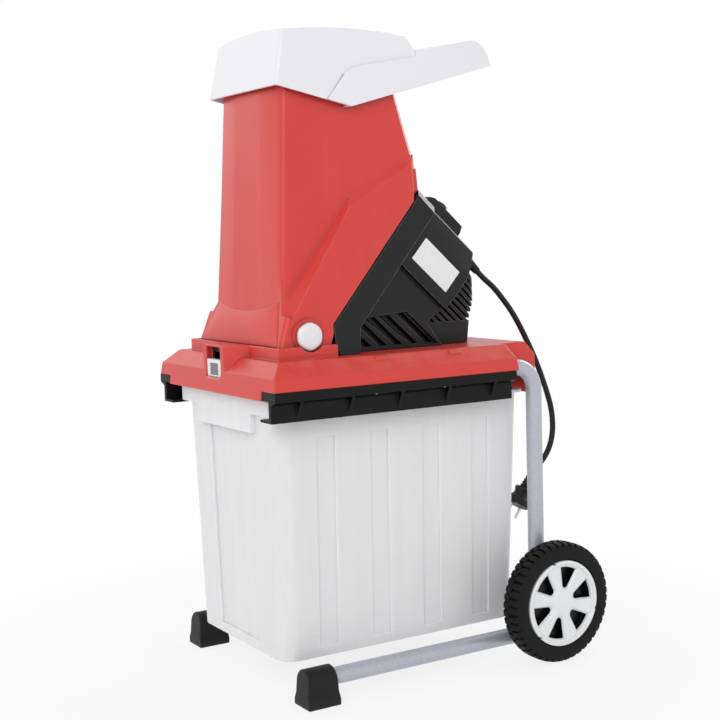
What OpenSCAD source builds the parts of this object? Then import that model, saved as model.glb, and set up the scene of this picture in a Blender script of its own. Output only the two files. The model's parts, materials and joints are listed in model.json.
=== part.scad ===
// Electric garden shredder on a two-wheeled tube stand, in millimetres.
// +X points to the rear, where the wheels and the motor are. +Z points up and the floor is z = 0.
// The left side is the -Y side, as seen by someone who stands behind the machine.

/* [Stand] */
// Outer diameter of the frame tube
tube_d = 24; // [20:0.5:26]
// Wall thickness of the frame tube
tube_wall = 1.5; // [1:0.1:3]
// How far each tube lies inside the base's lower edge
tube_inset = 15; // [12:0.5:18]
// Height of the lower tube run
tube_low_z = 35; // [26:1:42]
// Position of the upright tube run and of the axle
leg_x = 179; // [172:1:188]
// Centre line radius of the upper bend
bend_top_r = 36; // [28:1:38]
// Centre line radius of the lower bend
bend_low_r = 42; // [30:1:46]
// Front end of the upper tube run, inside the base
tube_top_front_x = -200; // [-230:1:-100]
// How far the upper tube run lies above the rail
tube_rise = 4; // [2:0.5:6]
// Front end of the feet
foot_front_x = -234; // [-250:1:-220]
// Length of a foot
foot_l = 51; // [40:1:70]
// Width of a foot at the floor
foot_w = 43; // [38:1:56]
// Rubber round the tube end in a foot
foot_wall = 6; // [3:0.5:8]
// Height of the straight skirt of a foot
foot_skirt = 9; // [4:0.5:12]

/* [Wheels] */
// Radius over the tread
wheel_r = 90; // [82:1:98]
// Width of a tyre
tyre_w = 36; // [32:1:40]
// Distance of each wheel's middle from its tube
wheel_offset = 45; // [43:0.5:51]
// Diameter of the axle
axle_d = 12; // [8:0.5:14]
// Outer radius of the rim barrel, inside the tyre
barrel_r = 62; // [56:0.5:64]
// Height of the tread lugs
lug_h = 5; // [3:0.5:7]
// Lugs in one row of the tread
lug_count = 38; // [24:1:44]
// Radius of the wheel cover
cover_r = 64; // [60:0.5:68]
// Thickness of the wheel cover
cover_t = 4; // [3:0.5:6]
// Windows in the wheel cover
window_count = 6; // [4:1:7]
// Outer radius of the windows
window_out = 51; // [44:0.5:54]
// Inner radius of the windows
window_in = 22; // [20:0.5:30]
// Depth of the walls round the windows, behind the cover
window_deep = 9; // [4:0.5:10]

/* [Base] */
// Height of the rails' upper face, where the base sits
rail_top_z = 437; // [425:1:450]
// Front edge of the base
base_front_x = -269; // [-275:0.5:-264]
// Rear end of the base's wide part
base_rear_x = 141; // [136:0.5:143]
// Half width of the base at its lower edge
base_half = 190; // [189:0.5:194]
// Height of the upright side wall
side_h = 18; // [16:0.5:24]
// Height of the deck above the rails
deck_h = 38; // [34:0.5:44]
// How far the deck's edge lies inside the base's lower edge
deck_inset = 27; // [20:0.5:34]
// Front edge of the deck
deck_front_x = -245; // [-250:0.5:-240]
// How far the front apron hangs below the rails' upper face
apron_h = 13; // [6:0.5:14]
// Wall of the base
base_wall = 3; // [2:0.5:4]
// Rear end of the narrow part between the tubes
tail_rear_x = 203; // [198:0.5:212]
// Gap between the narrow part and each tube
tail_gap = 13; // [7:0.5:22]
// Lower edge of the narrow part
tail_low_z = 395; // [385:1:410]
// Front end of the curb round the hopper
curb_front_x = -234; // [-236:0.5:-232]
// Rear end of the curb
curb_rear_x = -140; // [-150:0.5:-138]
// How far the curb lies outside the hopper's lower edge
curb_reach = 11.5; // [9:0.5:16]
// Height of the curb above the deck
curb_h = 17; // [12:0.5:18]
// Rear end of the chip opening in the deck
chute_rear_x = 60; // [40:1:70]

/* [Rails] */
// Front end of the rails
rail_front_x = -267; // [-274:0.5:-262]
// Height of a rail
rail_h = 42; // [40:0.5:48]
// How far a rail's inner face lies inside the base's lower edge
rail_inset = 38; // [36:0.5:40]
// How far the outer face of a rail's web lies inside the base's lower edge
web_inset = 12; // [9:0.5:14]
// How far a rail's upper lip reaches past the base's lower edge
lip_reach = 1; // [0:0.5:5]
// Height of the upper lip
lip_h = 18; // [14:0.5:20]
// Width of the ledge that carries the box
ledge_w = 7; // [5:0.5:9]
// Thickness of the ledge
ledge_t = 4; // [3:0.5:6]
// Gusset ribs on one rail
gusset_count = 5; // [3:1:7]
// Position of the first gusset rib
gusset_x = -225; // [-240:1:-200]
// Distance between gusset ribs
gusset_pitch = 81; // [40:1:84]

/* [Box] */
// Front of the box's body at its rim
box_front_x = -245.5; // [-248:0.5:-242]
// Rear of the box's body at its rim
box_rear_x = 181; // [170:0.5:183]
// How far the front wall draws in towards the floor
box_draft_front = 8; // [4:0.5:14]
// How far the rear wall draws in towards the floor
box_draft_rear = 15; // [10:0.5:20]
// How far each side wall draws in towards the floor
box_draft_y = 7; // [3:0.5:12]
// Height of the box's underside
box_low_z = 52; // [46:1:70]
// Wall of the box
box_wall = 2.5; // [2:0.25:4]
// Corner radius of the box
box_corner = 26; // [16:1:34]
// How far the rim and the grip stand out in front of the body
rim_reach = 8; // [6:0.5:12]
// Width of the grip lip on the front
grip_w = 172; // [120:1:190]
// Height of the grip lip
grip_h = 27; // [20:1:36]
// Width of the recessed panel under the grip
panel_w = 126; // [90:1:150]
// Depth of the recessed panel
panel_deep = 4; // [2:0.5:6]
// Upright channels in one side wall
channel_count = 4; // [2:1:5]
// Width of a channel
channel_w = 30; // [16:1:36]
// Distance between channels
channel_pitch = 88.5; // [60:0.5:90]
// Depth of a channel
channel_deep = 2; // [1:0.25:3]

/* [Hopper] */
// Wall of the hopper
hopper_wall = 3; // [2:0.5:4]
// Half width of the chute at the foot of the column
column_half_low = 103; // [98:0.5:106]
// Height of the foot of the column above the deck
column_low_h = 79; // [74:0.5:84]
// Height of the hood's lower front edge above the deck
hood_edge_h = 376; // [366:0.5:386]
// Half width of the chute at the hood
column_half_top = 95; // [88:0.5:97]
// Front of the chute at the foot of the column
column_front_low_x = -203.4; // [-208:0.2:-198]
// Front of the chute at the hood
column_front_top_x = -186; // [-192:0.2:-180]
// How far the front face bows out in the middle
front_bow = 9; // [5:0.5:12]
// Half width of the chamber at its lower edge
chamber_half_low = 131.5; // [129:0.5:132]
// Half width of the chamber at its upper rear corner
chamber_half_top = 102; // [100:0.5:112]
// Height of the chamber's upper rear corner above the deck
chamber_rear_h = 283.5; // [278:0.5:290]
// Bend in the chamber's upper edge, position
knee_x = -88; // [-96:0.5:-80]
// Bend in the chamber's upper edge, above the deck
knee_h = 228.5; // [222:0.5:234]
// Width of the bevel along the chamber's upper edge
chamber_bevel = 10; // [6:0.5:16]
// Front of the skirt at its lower edge
skirt_front_x = -226; // [-227:0.2:-222]
// Lower edge of the skirt above the deck
skirt_gap = 15; // [12:0.5:18]
// Bevel along the rear edges
rear_bevel = 9; // [5:0.5:12]
// Pivot of the hopper, position
pivot_x = -181; // [-184:0.5:-178]
// Pivot of the hopper above the deck
pivot_h = 30; // [28:0.5:32]
// Diameter of the pivot bolts
pivot_d = 12; // [8:0.5:14]
// Radius of the round ears at the pivot
ear_r = 24; // [18:0.5:25]
// Size of the pivot caps across their corners
pivot_cap_d = 40; // [34:0.5:42]
// Thickness of the hopper's hinge ears
ear_t = 9; // [7:0.5:12]
// Thickness of the base's hinge lugs
lug_t = 11; // [8:0.5:14]
// Gap between an ear and its lug
lug_gap = 0.5; // [0.3:0.1:1]

/* [Hood] */
// Wall of the hood
hood_wall = 3; // [2:0.5:4]
// Half width of the hood at its lower front edge
hood_half_low = 106.8; // [104:0.2:110]
// Half width of the hood at its roof
hood_half_top = 100; // [98:0.2:103]
// Front of the hood at its lower edge
hood_front_low_x = -205.5; // [-212:0.5:-200]
// Front of the hood at its roof
hood_front_top_x = -190.5; // [-196:0.5:-186]
// Rear edge of the roof
roof_rear_x = 13; // [0:1:24]
// Rear end of the feed tray at its floor
tray_rear_x = 163; // [140:1:180]
// Height of the tray's side walls at their rear end
tray_wall_h = 37; // [28:1:44]
// How far the tray's sides stand proud of the hood
tray_step = 2.5; // [1.5:0.25:4]
// Crown of the roof in the middle
roof_crown = 13; // [6:0.5:16]

/* [Cutting unit] */
// Angle of the knife plane from level
knife_tilt = 48; // [46:0.5:50]
// Motor axis in the knife plane, position
knife_x = -54; // [-57:0.5:-51]
// Motor axis in the knife plane, above the deck
knife_h = 138; // [136:0.5:140]
// Half length of the slanted joint between hopper and flange
slant_half = 126; // [124:0.5:127]
// Thickness of the black flange
flange_t = 38; // [34:0.5:42]
// Wall of the flange
flange_wall = 4; // [3:0.5:5]
// Thickness of the bulkhead that carries the motor
bulkhead_t = 6; // [4:0.5:8]
// Radius of the knife disc
disc_r = 100; // [90:1:106]
// Thickness of the knife disc
disc_t = 6; // [4:0.5:8]
// Length of a blade
blade_l = 72; // [60:1:74]
// Width of a blade
blade_w = 26; // [20:0.5:30]
// Thickness of a blade
blade_t = 4; // [3:0.25:5]
// Diameter of the motor shaft
shaft_d = 15; // [12:0.5:17]
// Outer radius of the motor can
can_r = 62; // [56:0.5:66]
// Length of the motor can
can_l = 112; // [104:1:116]
// Radius of the rotor
rotor_r = 40; // [34:0.5:44]

/* [Motor housing] */
// Wall of the motor cover
cover_wall = 3; // [2:0.5:4]
// Half width of the cover at the label panel
cover_half = 112; // [108:0.5:114]
// How far the label panel stands proud
label_step = 8; // [4:0.5:9]
// Upper face of the cover, from the motor axis
cover_top_v = 122; // [119:0.5:124]
// Reach of the cover behind the knife plane at its upper corner
cover_reach = 134; // [124:0.5:140]
// Radius of the cover's curved end edge
cover_arc_r = 199; // [170:1:240]
// Width of one louvre slot
louvre_w = 9; // [6:0.5:10]
// Distance between louvre slots
louvre_pitch = 18; // [15:0.5:22]
// Half width of the ribbed cowl
cowl_half = 90; // [86:0.5:94]
// Rear end of the cowl at the deck
cowl_rear_x = 120; // [114:0.5:126]
// Wall of the cowl under its ribs
cowl_wall = 10; // [8:0.5:11]
// Depth of the grooves between the ribs
rib_deep = 6; // [4:0.5:7]
// Distance between ribs
rib_pitch = 9; // [8:0.5:12]
// Width of the grooves between ribs
rib_gap = 4.5; // [3:0.5:6]
// Ribs on the cowl
rib_count = 11; // [6:1:12]
// Height of the plain wall under the ribs, above the deck
rib_low_h = 34; // [20:1:44]
// Length of the label plate
label_l = 79; // [60:1:84]
// Width of the label plate
label_w = 39; // [28:1:44]
// Thickness of the label plate
label_t = 1; // [0.6:0.1:2]

/* [Switch] */
// Half width of the switch box
switch_half = 52; // [40:1:60]
// Height of the switch box
switch_h = 38; // [28:1:44]
// Length of the switch box
switch_l = 80; // [60:1:84]
// Radius of a button
button_r = 11; // [8:0.5:14]
// How far a button stands out
button_out = 7; // [4:0.25:8]
// Travel of a button
button_travel = 2.5; // [1.5:0.25:3]

/* [Latch] */
// Width of the latch slider
latch_w = 44; // [34:1:48]
// Height of the latch slider
latch_h = 28; // [22:1:32]
// Thickness of the latch slider
latch_t = 9; // [6:0.5:10]
// Travel of the latch slider
latch_travel = 16; // [10:0.5:17]

/* [Cord] */
// Diameter of the mains lead
cord_d = 9; // [7:0.25:10]
// Length of the strain relief outside the cover
gland_l = 30; // [20:1:40]
// Radius of the plug body
plug_r = 19; // [16:0.5:20]
// Length of the plug body
plug_l = 30; // [24:1:36]
// Angle of the plug from upright
plug_tilt = 34; // [20:1:50]

/* [Hidden] */
$fn = 64;

red = [0.72, 0.16, 0.15];
black = [0.09, 0.09, 0.10];
rail_grey = [0.17, 0.17, 0.18];
silver = [0.72, 0.73, 0.76];
white = [0.90, 0.90, 0.92];
milk = [0.88, 0.89, 0.90, 0.8];
steel = [0.60, 0.61, 0.63];

// Clearances
slip = 0.08;       // running fit, radial
seat = 0.05;       // fixed fit, radial
air = 0.3;         // between flat faces of pieces that move past each other
over = 20;         // how far a cutting shape runs past what it cuts

tube_r = tube_d / 2;
axle_r = axle_d / 2;
shaft_r = shaft_d / 2;
pivot_r = pivot_d / 2;
cord_r = cord_d / 2;

// Widths that follow the base and the hopper
tube_y = base_half - tube_inset;
wheel_y = tube_y + wheel_offset;
rail_in = base_half - rail_inset;
rail_web = base_half - web_inset;
rail_out = base_half + lip_reach;
deck_half = base_half - deck_inset;
tail_half = tube_y - tube_r - tail_gap;
curb_half = chamber_half_low + curb_reach;

// Heights that follow the rails and the deck
tube_top_z = rail_top_z + tube_rise;
rail_low_z = rail_top_z - rail_h;
shoulder_z = rail_top_z + side_h;
deck_z = rail_top_z + deck_h;
apron_z = rail_top_z - apron_h;
pivot_z = deck_z + pivot_h;
knife_z = deck_z + knife_h;
skirt_z = deck_z + skirt_gap;

// Points of the knife plane: v runs up along the slope, s runs along the motor axis to the rear
function at_slant(v, s) = [
  knife_x + v * cos(knife_tilt) + s * sin(knife_tilt),
  knife_z + v * sin(knife_tilt) - s * cos(knife_tilt)
];
function polar(r, a) = [r * cos(a), r * sin(a)];

// A closed outline, counter-clockwise, with each edge moved inwards by its own amount
function heading(p, i) = let (d = p[(i + 1) % len(p)] - p[i]) d / norm(d);
function left_of(d) = [-d.y, d.x];
function meet(a, da, b, db) = a + da * (cross(b - a, db) / cross(da, db));
function inset(p, t) = let (n = len(p)) [
  for (i = [0:n - 1])
    let (j = (i + n - 1) % n)
    meet(p[j] + left_of(heading(p, j)) * t[j], heading(p, j),
         p[i] + left_of(heading(p, i)) * t[i], heading(p, i))
];

// An outline in the X-Z plane, drawn out to both sides of the middle plane
module across(half) {
  rotate([90, 0, 0])
    linear_extrude(height = 2 * half, center = true)
      children();
}

// An outline in the Y-Z plane, drawn out along X
module along(from_x, to_x) {
  translate([from_x, 0, 0])
    rotate([90, 0, 90])
      linear_extrude(height = to_x - from_x)
        children();
}

module both_sides() {
  children();
  mirror([0, 1, 0]) children();
}

// A block with drafted sides: half width low_half at low_z and top_half at top_z
module drafted(low_half, low_z, top_half, top_z, thin = 0) {
  slope = (top_half - low_half) / (top_z - low_z);
  bottom = low_z - 100;
  roof = top_z + 100;
  low_w = low_half + slope * (bottom - low_z) - thin;
  top_w = low_half + slope * (roof - low_z) - thin;
  along(-400, 400)
    polygon([[-low_w, bottom], [low_w, bottom], [top_w, roof], [-top_w, roof]]);
}

// Everything outside a bevel that runs along the edge a-b, from half width near to half width far
module bevel_cut(a, b, near, far, deep, thin = 0) {
  run = norm(b - a);
  slope = atan2(b.y - a.y, b.x - a.x);
  lean = atan2(deep, far - near);
  both_sides()
    translate([a.x, -near, a.y])
      rotate([0, -slope, 0])
        rotate([lean, 0, 0])
          translate([-over, -4 * over, -thin])
            cube([run + 2 * over, 8 * over, 4 * over]);
}

// The place of the motor axis, with +Z along the axis to the rear
module on_motor_axis(s = 0) {
  start = at_slant(0, s);
  translate([start.x, 0, start.y])
    rotate([0, 180 - knife_tilt, 0])
      children();
}

// A place on the cover's upper face, with +Z out of that face
module on_cover_top(v, s, y) {
  place = at_slant(v, s);
  translate([place.x, y, place.y])
    rotate([0, 90 - knife_tilt, 0])
      children();
}

// A wheel's own place, with +Z outwards along the axle
module on_axle(y) {
  translate([leg_x, y, wheel_r])
    rotate([-90, 0, 0])
      children();
}

// Stand

foot_socket_x = foot_front_x + foot_wall + 2;

module tube_run(r, extra) {
  low_start = foot_socket_x - extra;
  low_end = leg_x - bend_low_r;
  top_start = tube_top_front_x - extra;
  top_end = leg_x - bend_top_r;
  leg_low = tube_low_z + bend_low_r;
  leg_high = tube_top_z - bend_top_r;
  translate([low_start, 0, tube_low_z])
    rotate([0, 90, 0]) cylinder(r = r, h = low_end - low_start);
  translate([low_end, 0, leg_low])
    rotate([90, 0, 0]) rotate([0, 0, -90])
      rotate_extrude(angle = 90) translate([bend_low_r, 0]) circle(r = r);
  translate([leg_x, 0, leg_low])
    cylinder(r = r, h = leg_high - leg_low);
  translate([top_end, 0, leg_high])
    rotate([90, 0, 0])
      rotate_extrude(angle = 90) translate([bend_top_r, 0]) circle(r = r);
  translate([top_start, 0, tube_top_z])
    rotate([0, 90, 0]) cylinder(r = r, h = top_end - top_start);
}

module frame_tube() {
  color(silver)
    translate([0, tube_y, 0])
      difference() {
        tube_run(tube_r, 0);
        tube_run(tube_r - tube_wall, 1);
        translate([leg_x, 0, wheel_r])
          rotate([90, 0, 0]) cylinder(r = axle_r + seat, h = 2 * tube_d, center = true);
      }
}
module frame_tube_right() { frame_tube(); }
module frame_tube_left() { mirror([0, 1, 0]) frame_tube(); }

module foot_front_outline() {
  cap_r = tube_r + foot_wall;
  flare_z = foot_skirt + 10;
  translate([0, tube_low_z]) circle(r = cap_r);
  polygon([
    [-foot_w / 2, 0], [foot_w / 2, 0], [foot_w / 2, foot_skirt], [cap_r, flare_z], [cap_r, tube_low_z],
    [-cap_r, tube_low_z], [-cap_r, flare_z], [-foot_w / 2, foot_skirt]
  ]);
}

module foot() {
  rake = 4;
  head_z = tube_low_z + tube_r + foot_wall + 1;
  color(black)
    translate([foot_front_x, tube_y, 0])
      difference() {
        intersection() {
          along(0, foot_l) foot_front_outline();
          across(foot_w)
            polygon([
              [0, 0], [foot_l, 0], [foot_l, foot_skirt], [foot_l - rake, head_z],
              [rake, head_z], [0, foot_skirt]
            ]);
        }
        translate([foot_socket_x - foot_front_x, 0, tube_low_z])
          rotate([0, 90, 0]) cylinder(r = tube_r + seat, h = foot_l);
      }
}
module foot_right() { foot(); }
module foot_left() { mirror([0, 1, 0]) foot(); }

// Wheels, seen along the axle from outside

hub_in = -tyre_w / 2;
hub_out = 8;
hub_r = 17;
clip_t = 3;
barrel_t = 5;
barrel_half = tyre_w / 2 - 4;
tread_r = wheel_r - lug_h;

module axle() {
  reach = wheel_y + hub_out + air + clip_t;
  color(steel)
    on_axle(-reach) cylinder(r = axle_r, h = 2 * reach);
}

module axle_spacers() {
  from_y = tube_y + tube_r;
  to_y = wheel_y + hub_in - air;
  color(black)
    both_sides()
      on_axle(from_y)
        difference() {
          cylinder(r = axle_r + 4, h = to_y - from_y);
          translate([0, 0, -1]) cylinder(r = axle_r + seat, h = to_y - from_y + 2);
        }
}

module axle_clips() {
  color(steel)
    both_sides()
      on_axle(wheel_y + hub_out + air)
        difference() {
          cylinder(r = axle_r + 5, h = clip_t);
          translate([0, 0, -1]) cylinder(r = axle_r + seat, h = clip_t + 2);
        }
}

module wheel() {
  web_t = 5;
  bore = axle_r + slip;
  color(black)
    on_axle(wheel_y)
      rotate_extrude() {
        translate([bore, hub_in]) square([hub_r - bore, hub_out - hub_in]);
        translate([hub_r - 1, -web_t / 2]) square([barrel_r - barrel_t - hub_r + 2, web_t]);
        translate([barrel_r - barrel_t, -barrel_half]) square([barrel_t, 2 * barrel_half]);
      }
}
module wheel_right() { wheel(); }
module wheel_left() { mirror([0, 1, 0]) wheel(); }

// One row of lugs: a toothed ring, share is the part of the pitch that a lug fills
function lug_outline(out_r, share, turn) = let (pitch = 360 / lug_count) [
  for (k = [0:lug_count - 1])
    let (mid = k * pitch + turn, a = pitch * share / 2)
    each [polar(out_r, mid - a), polar(out_r, mid + a), polar(tread_r - 1, mid + a + 1),
          polar(tread_r - 1, mid + pitch - a - 1)]
];

module lug_row(from_y, to_y, out_r, share, turn) {
  translate([0, 0, from_y])
    linear_extrude(height = to_y - from_y)
      difference() {
        polygon(lug_outline(out_r, share, turn));
        circle(r = tread_r - lug_h);
      }
}

module tyre() {
  half = tyre_w / 2;
  shoulder = half - 4;
  side = half - 1;
  half_pitch = 180 / lug_count;
  color(black)
    on_axle(wheel_y) {
      rotate_extrude()
        polygon([
          [barrel_r, -barrel_half], [cover_r + 2, -half], [tread_r - 10, -half], [tread_r, -shoulder],
          [tread_r, shoulder], [tread_r - 10, half], [cover_r + 2, half], [cover_r + 0.5, barrel_half],
          [barrel_r, barrel_half]
        ]);
      lug_row(1, shoulder, wheel_r, 0.62, 0);
      lug_row(-shoulder, -1, wheel_r, 0.62, half_pitch);
      lug_row(shoulder, side, wheel_r - 2.5, 0.45, 0);
      lug_row(-side, -shoulder, wheel_r - 2.5, 0.45, half_pitch);
    }
}
module tyre_right() { tyre(); }
module tyre_left() { mirror([0, 1, 0]) tyre(); }

// A window: round at its inner end, wide and curved along the rim, grown all round
module window_outline(grow) {
  tip_r = 5;
  spread = 16;
  tip = [window_in + tip_r, tip_r];
  wide = polar(window_out + 4, spread);
  away = left_of((wide - tip) / norm(wide - tip)) * grow;
  low = tip + away;
  high = wide + away;
  translate([tip.x, 0]) circle(r = tip_r + grow);
  intersection() {
    circle(r = window_out + grow);
    polygon([[low.x, -low.y], [high.x, -high.y], high, low]);
  }
}

module wheel_cover() {
  rim_w = 9;
  dish = 1.5;
  notch_r = 2.8;
  notch_turn = 15;
  window_turn = -16;
  window_wall = 1.8;
  window_pitch = 360 / window_count;
  color(white)
    on_axle(wheel_y + barrel_half)
      difference() {
        union() {
          cylinder(r = cover_r - rim_w + 1, h = cover_t - dish);
          difference() {
            cylinder(r = cover_r, h = cover_t + 1);
            translate([0, 0, -1]) cylinder(r = cover_r - rim_w, h = cover_t + 3);
          }
          for (k = [0:window_count - 1])
            rotate([0, 0, window_turn + k * window_pitch])
              translate([0, 0, -window_deep])
                linear_extrude(height = window_deep + 1) window_outline(window_wall);
        }
        for (k = [0:window_count - 1])
          rotate([0, 0, window_turn + k * window_pitch])
            translate([0, 0, -window_deep - 1])
              linear_extrude(height = window_deep + cover_t + 3) window_outline(0);
        for (k = [0:2])
          rotate([0, 0, notch_turn + k * 120])
            translate([cover_r, 0, -1]) cylinder(r = notch_r, h = cover_t + 3);
      }
}
module wheel_cover_right() { wheel_cover(); }
module wheel_cover_left() { mirror([0, 1, 0]) wheel_cover(); }

// Rails and base

rail_rear_x = base_rear_x - 5;
ledge_in = rail_in - ledge_w;
ledge_z = rail_low_z + ledge_t;
lip_z = rail_top_z - lip_h;

// A channel that is open towards the box: web, head under the base, outer lip and ledge
module rail_outline() {
  web_t = 8;
  head_z = tube_top_z - tube_r - web_t / 2;
  translate([rail_web - web_t, rail_low_z]) square([web_t, rail_h]);
  translate([rail_in, head_z]) square([rail_web - rail_in, rail_top_z - head_z]);
  translate([rail_web - 1, lip_z]) square([rail_out - rail_web + 1, lip_h]);
  translate([ledge_in, rail_low_z]) square([rail_web - ledge_in, ledge_t]);
}

module gusset_outline() {
  foot_z = rail_low_z + 5;
  root = rail_web - 1;
  polygon([[root, lip_z + 1], [root, foot_z], [rail_web, foot_z], [rail_out - 2, lip_z + 1]]);
}

module rail() {
  rib_t = 5;
  color(rail_grey) {
    difference() {
      along(rail_front_x, rail_rear_x) rail_outline();
      along(tube_top_front_x - air, rail_rear_x + over)
        translate([tube_y, tube_top_z]) circle(r = tube_r + seat);
    }
    for (k = [0:gusset_count - 1]) {
      x = gusset_x + k * gusset_pitch;
      along(x - rib_t / 2, x + rib_t / 2) gusset_outline();
    }
  }
}
module rail_right() { rail(); }
module rail_left() { mirror([0, 1, 0]) rail(); }

// Outlines of the base, from the side and from the front
rear_slope = 5;
shoulder_in = 4;
apron_half = rail_in - 0.5;
base_outline = [
  [base_front_x, apron_z], [base_rear_x, apron_z], [base_rear_x, shoulder_z],
  [base_rear_x - rear_slope, deck_z], [deck_front_x, deck_z], [base_front_x + shoulder_in, shoulder_z]
];
tail_front_x = box_rear_x + 6;
tail_root_x = base_rear_x - 10;
tail_slope = 18;
tail_outline = [
  [tail_front_x, tail_low_z], [tail_rear_x, tail_low_z], [tail_rear_x, shoulder_z],
  [tail_rear_x - tail_slope, deck_z], [tail_root_x, deck_z], [tail_root_x, rail_top_z],
  [tail_front_x, rail_top_z]
];

module base_front_outline() {
  polygon([
    [-apron_half, apron_z], [apron_half, apron_z], [apron_half, rail_top_z], [base_half, rail_top_z],
    [base_half - shoulder_in, shoulder_z], [deck_half, deck_z], [-deck_half, deck_z],
    [shoulder_in - base_half, shoulder_z], [-base_half, rail_top_z], [-apron_half, rail_top_z]
  ]);
}

curb_wall = 4.5;
curb_in_half = chamber_half_low + 2;
curb_in_x = curb_front_x + curb_wall;
ear_out = chamber_half_low + 1;
ear_in = ear_out - ear_t;
lug_out = ear_in - lug_gap;
lug_in = lug_out - lug_t;
lug_half = 14;
lug_web_t = 6;
lug_low_z = rail_top_z + 2;
boss_half = latch_w / 2 + 12;
boss_flare = 20;
boss_front_x = base_front_x + shoulder_in;
boss_low_z = rail_top_z + 6;
boss_deep = latch_t + 1;
slot_half = latch_w / 2 + air;
guide_w = 5;
pocket_deep = 18;
tab_l = 22;
tab_xs = [-85, 40];

module base_body() {
  difference() {
    union() {
      intersection() {
        across(base_half + over) polygon(base_outline);
        along(base_front_x - over, base_rear_x + over) base_front_outline();
      }
      across(tail_half) polygon(tail_outline);
      translate([curb_front_x, -curb_half, deck_z - 1])
        cube([curb_rear_x - curb_front_x, 2 * curb_half, curb_h + 1]);
      translate([0, 0, boss_low_z])
        linear_extrude(height = deck_z + curb_h - boss_low_z)
          polygon([
            [boss_front_x, -boss_half], [boss_front_x, boss_half], [curb_in_x, boss_half + boss_flare],
            [curb_in_x, -boss_half - boss_flare]
          ]);
    }
    across(apron_half - base_wall)
      polygon(inset(base_outline, [-over, base_wall, base_wall, base_wall, base_wall, base_wall]));
    across(tail_half - base_wall)
      polygon(inset(tail_outline, [-over, base_wall, base_wall, base_wall, -over / 4, -over, -over]));
  }
}

// The way down from the hopper and the cutting unit, in three widths
module chip_opening() {
  low = deck_z - 3 * base_wall;
  tall = curb_h + 4 * base_wall;
  flange_in = chamber_half_low - 10;
  cowl_in = cowl_half - cowl_wall - 4;
  flange_rear_x = flange_root_x - bulkhead_t;
  translate([curb_in_x, -curb_in_half, low]) cube([curb_rear_x - curb_in_x + 1, 2 * curb_in_half, tall]);
  translate([curb_rear_x, -flange_in, low]) cube([flange_rear_x - curb_rear_x, 2 * flange_in, tall]);
  translate([flange_rear_x - 1, -cowl_in, low]) cube([chute_rear_x - flange_rear_x + 1, 2 * cowl_in, tall]);
}

module pivot_lug() {
  difference() {
    union() {
      translate([pivot_x - lug_half, lug_in, lug_low_z])
        cube([2 * lug_half, lug_out - lug_in, pivot_z - lug_low_z]);
      translate([pivot_x, lug_in, pivot_z])
        rotate([-90, 0, 0]) cylinder(r = lug_half, h = lug_out - lug_in);
      translate([pivot_x - lug_half, lug_in, lug_low_z])
        cube([2 * lug_half, apron_half - lug_in, lug_web_t]);
    }
    translate([pivot_x, lug_in - 1, pivot_z])
      rotate([-90, 0, 0]) cylinder(r = pivot_r + seat, h = lug_out - lug_in + 2);
  }
}

// Small tabs on the sloping shoulder
module shoulder_tabs() {
  tab_w = 9;
  lean = atan2(deck_z - shoulder_z, base_half - shoulder_in - deck_half);
  for (x = tab_xs)
    translate([x, deck_half, deck_z])
      rotate([-lean, 0, 0])
        translate([-tab_l / 2, 3, -2]) cube([tab_l, tab_w, 4]);
}

module base_tray() {
  tube_len = base_rear_x - tube_top_front_x;
  color(red) {
    difference() {
      union() {
        base_body();
        both_sides() shoulder_tabs();
      }
      chip_opening();
      both_sides() {
        translate([tube_top_front_x, tube_y, tube_top_z])
          rotate([0, 90, 0]) cylinder(r = tube_r + seat, h = tube_len + over);
        translate([pivot_x, lug_out, pivot_z])
          rotate([-90, 0, 0]) cylinder(r = pivot_cap_d / 2 + 1.5, h = over + lug_out - lug_in);
      }
      translate([boss_front_x - 1, -slot_half, boss_low_z - 1])
        cube([boss_deep + 1, 2 * slot_half, latch_h + latch_travel + 3]);
      translate([boss_front_x, guide_w - slot_half, boss_low_z + guide_w])
        cube([boss_deep + pocket_deep, 2 * (slot_half - guide_w), latch_h + latch_travel - 2 * guide_w]);
    }
    both_sides() pivot_lug();
  }
}

module box_latch() {
  grip = 2;
  color(white)
    translate([boss_front_x + boss_deep - air - latch_t, -latch_w / 2, boss_low_z])
      difference() {
        cube([latch_t, latch_w, latch_h]);
        translate([-1, latch_w * 0.2, latch_h * 0.2])
          cube([grip + 1, latch_w * 0.6, latch_h * 0.6]);
      }
}

// Box

box_rim_z = ledge_z + air;
box_rim_t = 4;
box_half = ledge_in - 1.5;
box_rim_half = rail_in - 1;
box_top_z = box_rim_z + box_rim_t;
box_tall = box_top_z - box_low_z;
box_mid_x = (box_front_x + box_rear_x) / 2;
rim_front_x = box_front_x - rim_reach;
rim_corner = 14;
band_top_z = apron_z - 3;
band_l = 40;
grip_low_z = box_rim_z - grip_h;
groove_low = 14;
groove_top = 38;

module rounded(front_x, rear_x, half, r) {
  translate([front_x + r, r - half]) square([rear_x - front_x - 2 * r, 2 * half - 2 * r]);
  translate([front_x, r - half]) square([rear_x - front_x, 2 * half - 2 * r]);
  translate([front_x + r, -half]) square([rear_x - front_x - 2 * r, 2 * half]);
  for (x = [front_x + r, rear_x - r])
    for (y = [r - half, half - r])
      translate([x, y]) circle(r = r, $fn = 32);
}

// The drawn-in body of the box: thin is how far its faces lie inside the outer ones
module box_form(thin, low_z) {
  skin = 0.5;
  r = box_corner - thin;
  hull() {
    translate([0, 0, box_top_z - skin])
      linear_extrude(height = skin + (thin > 0 ? 1 : 0))
        rounded(box_front_x + thin, box_rear_x - thin, box_half - thin, r);
    translate([0, 0, low_z])
      linear_extrude(height = skin)
        rounded(box_front_x + box_draft_front + thin, box_rear_x - box_draft_rear - thin,
                box_half - box_draft_y - thin, r);
  }
}

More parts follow.
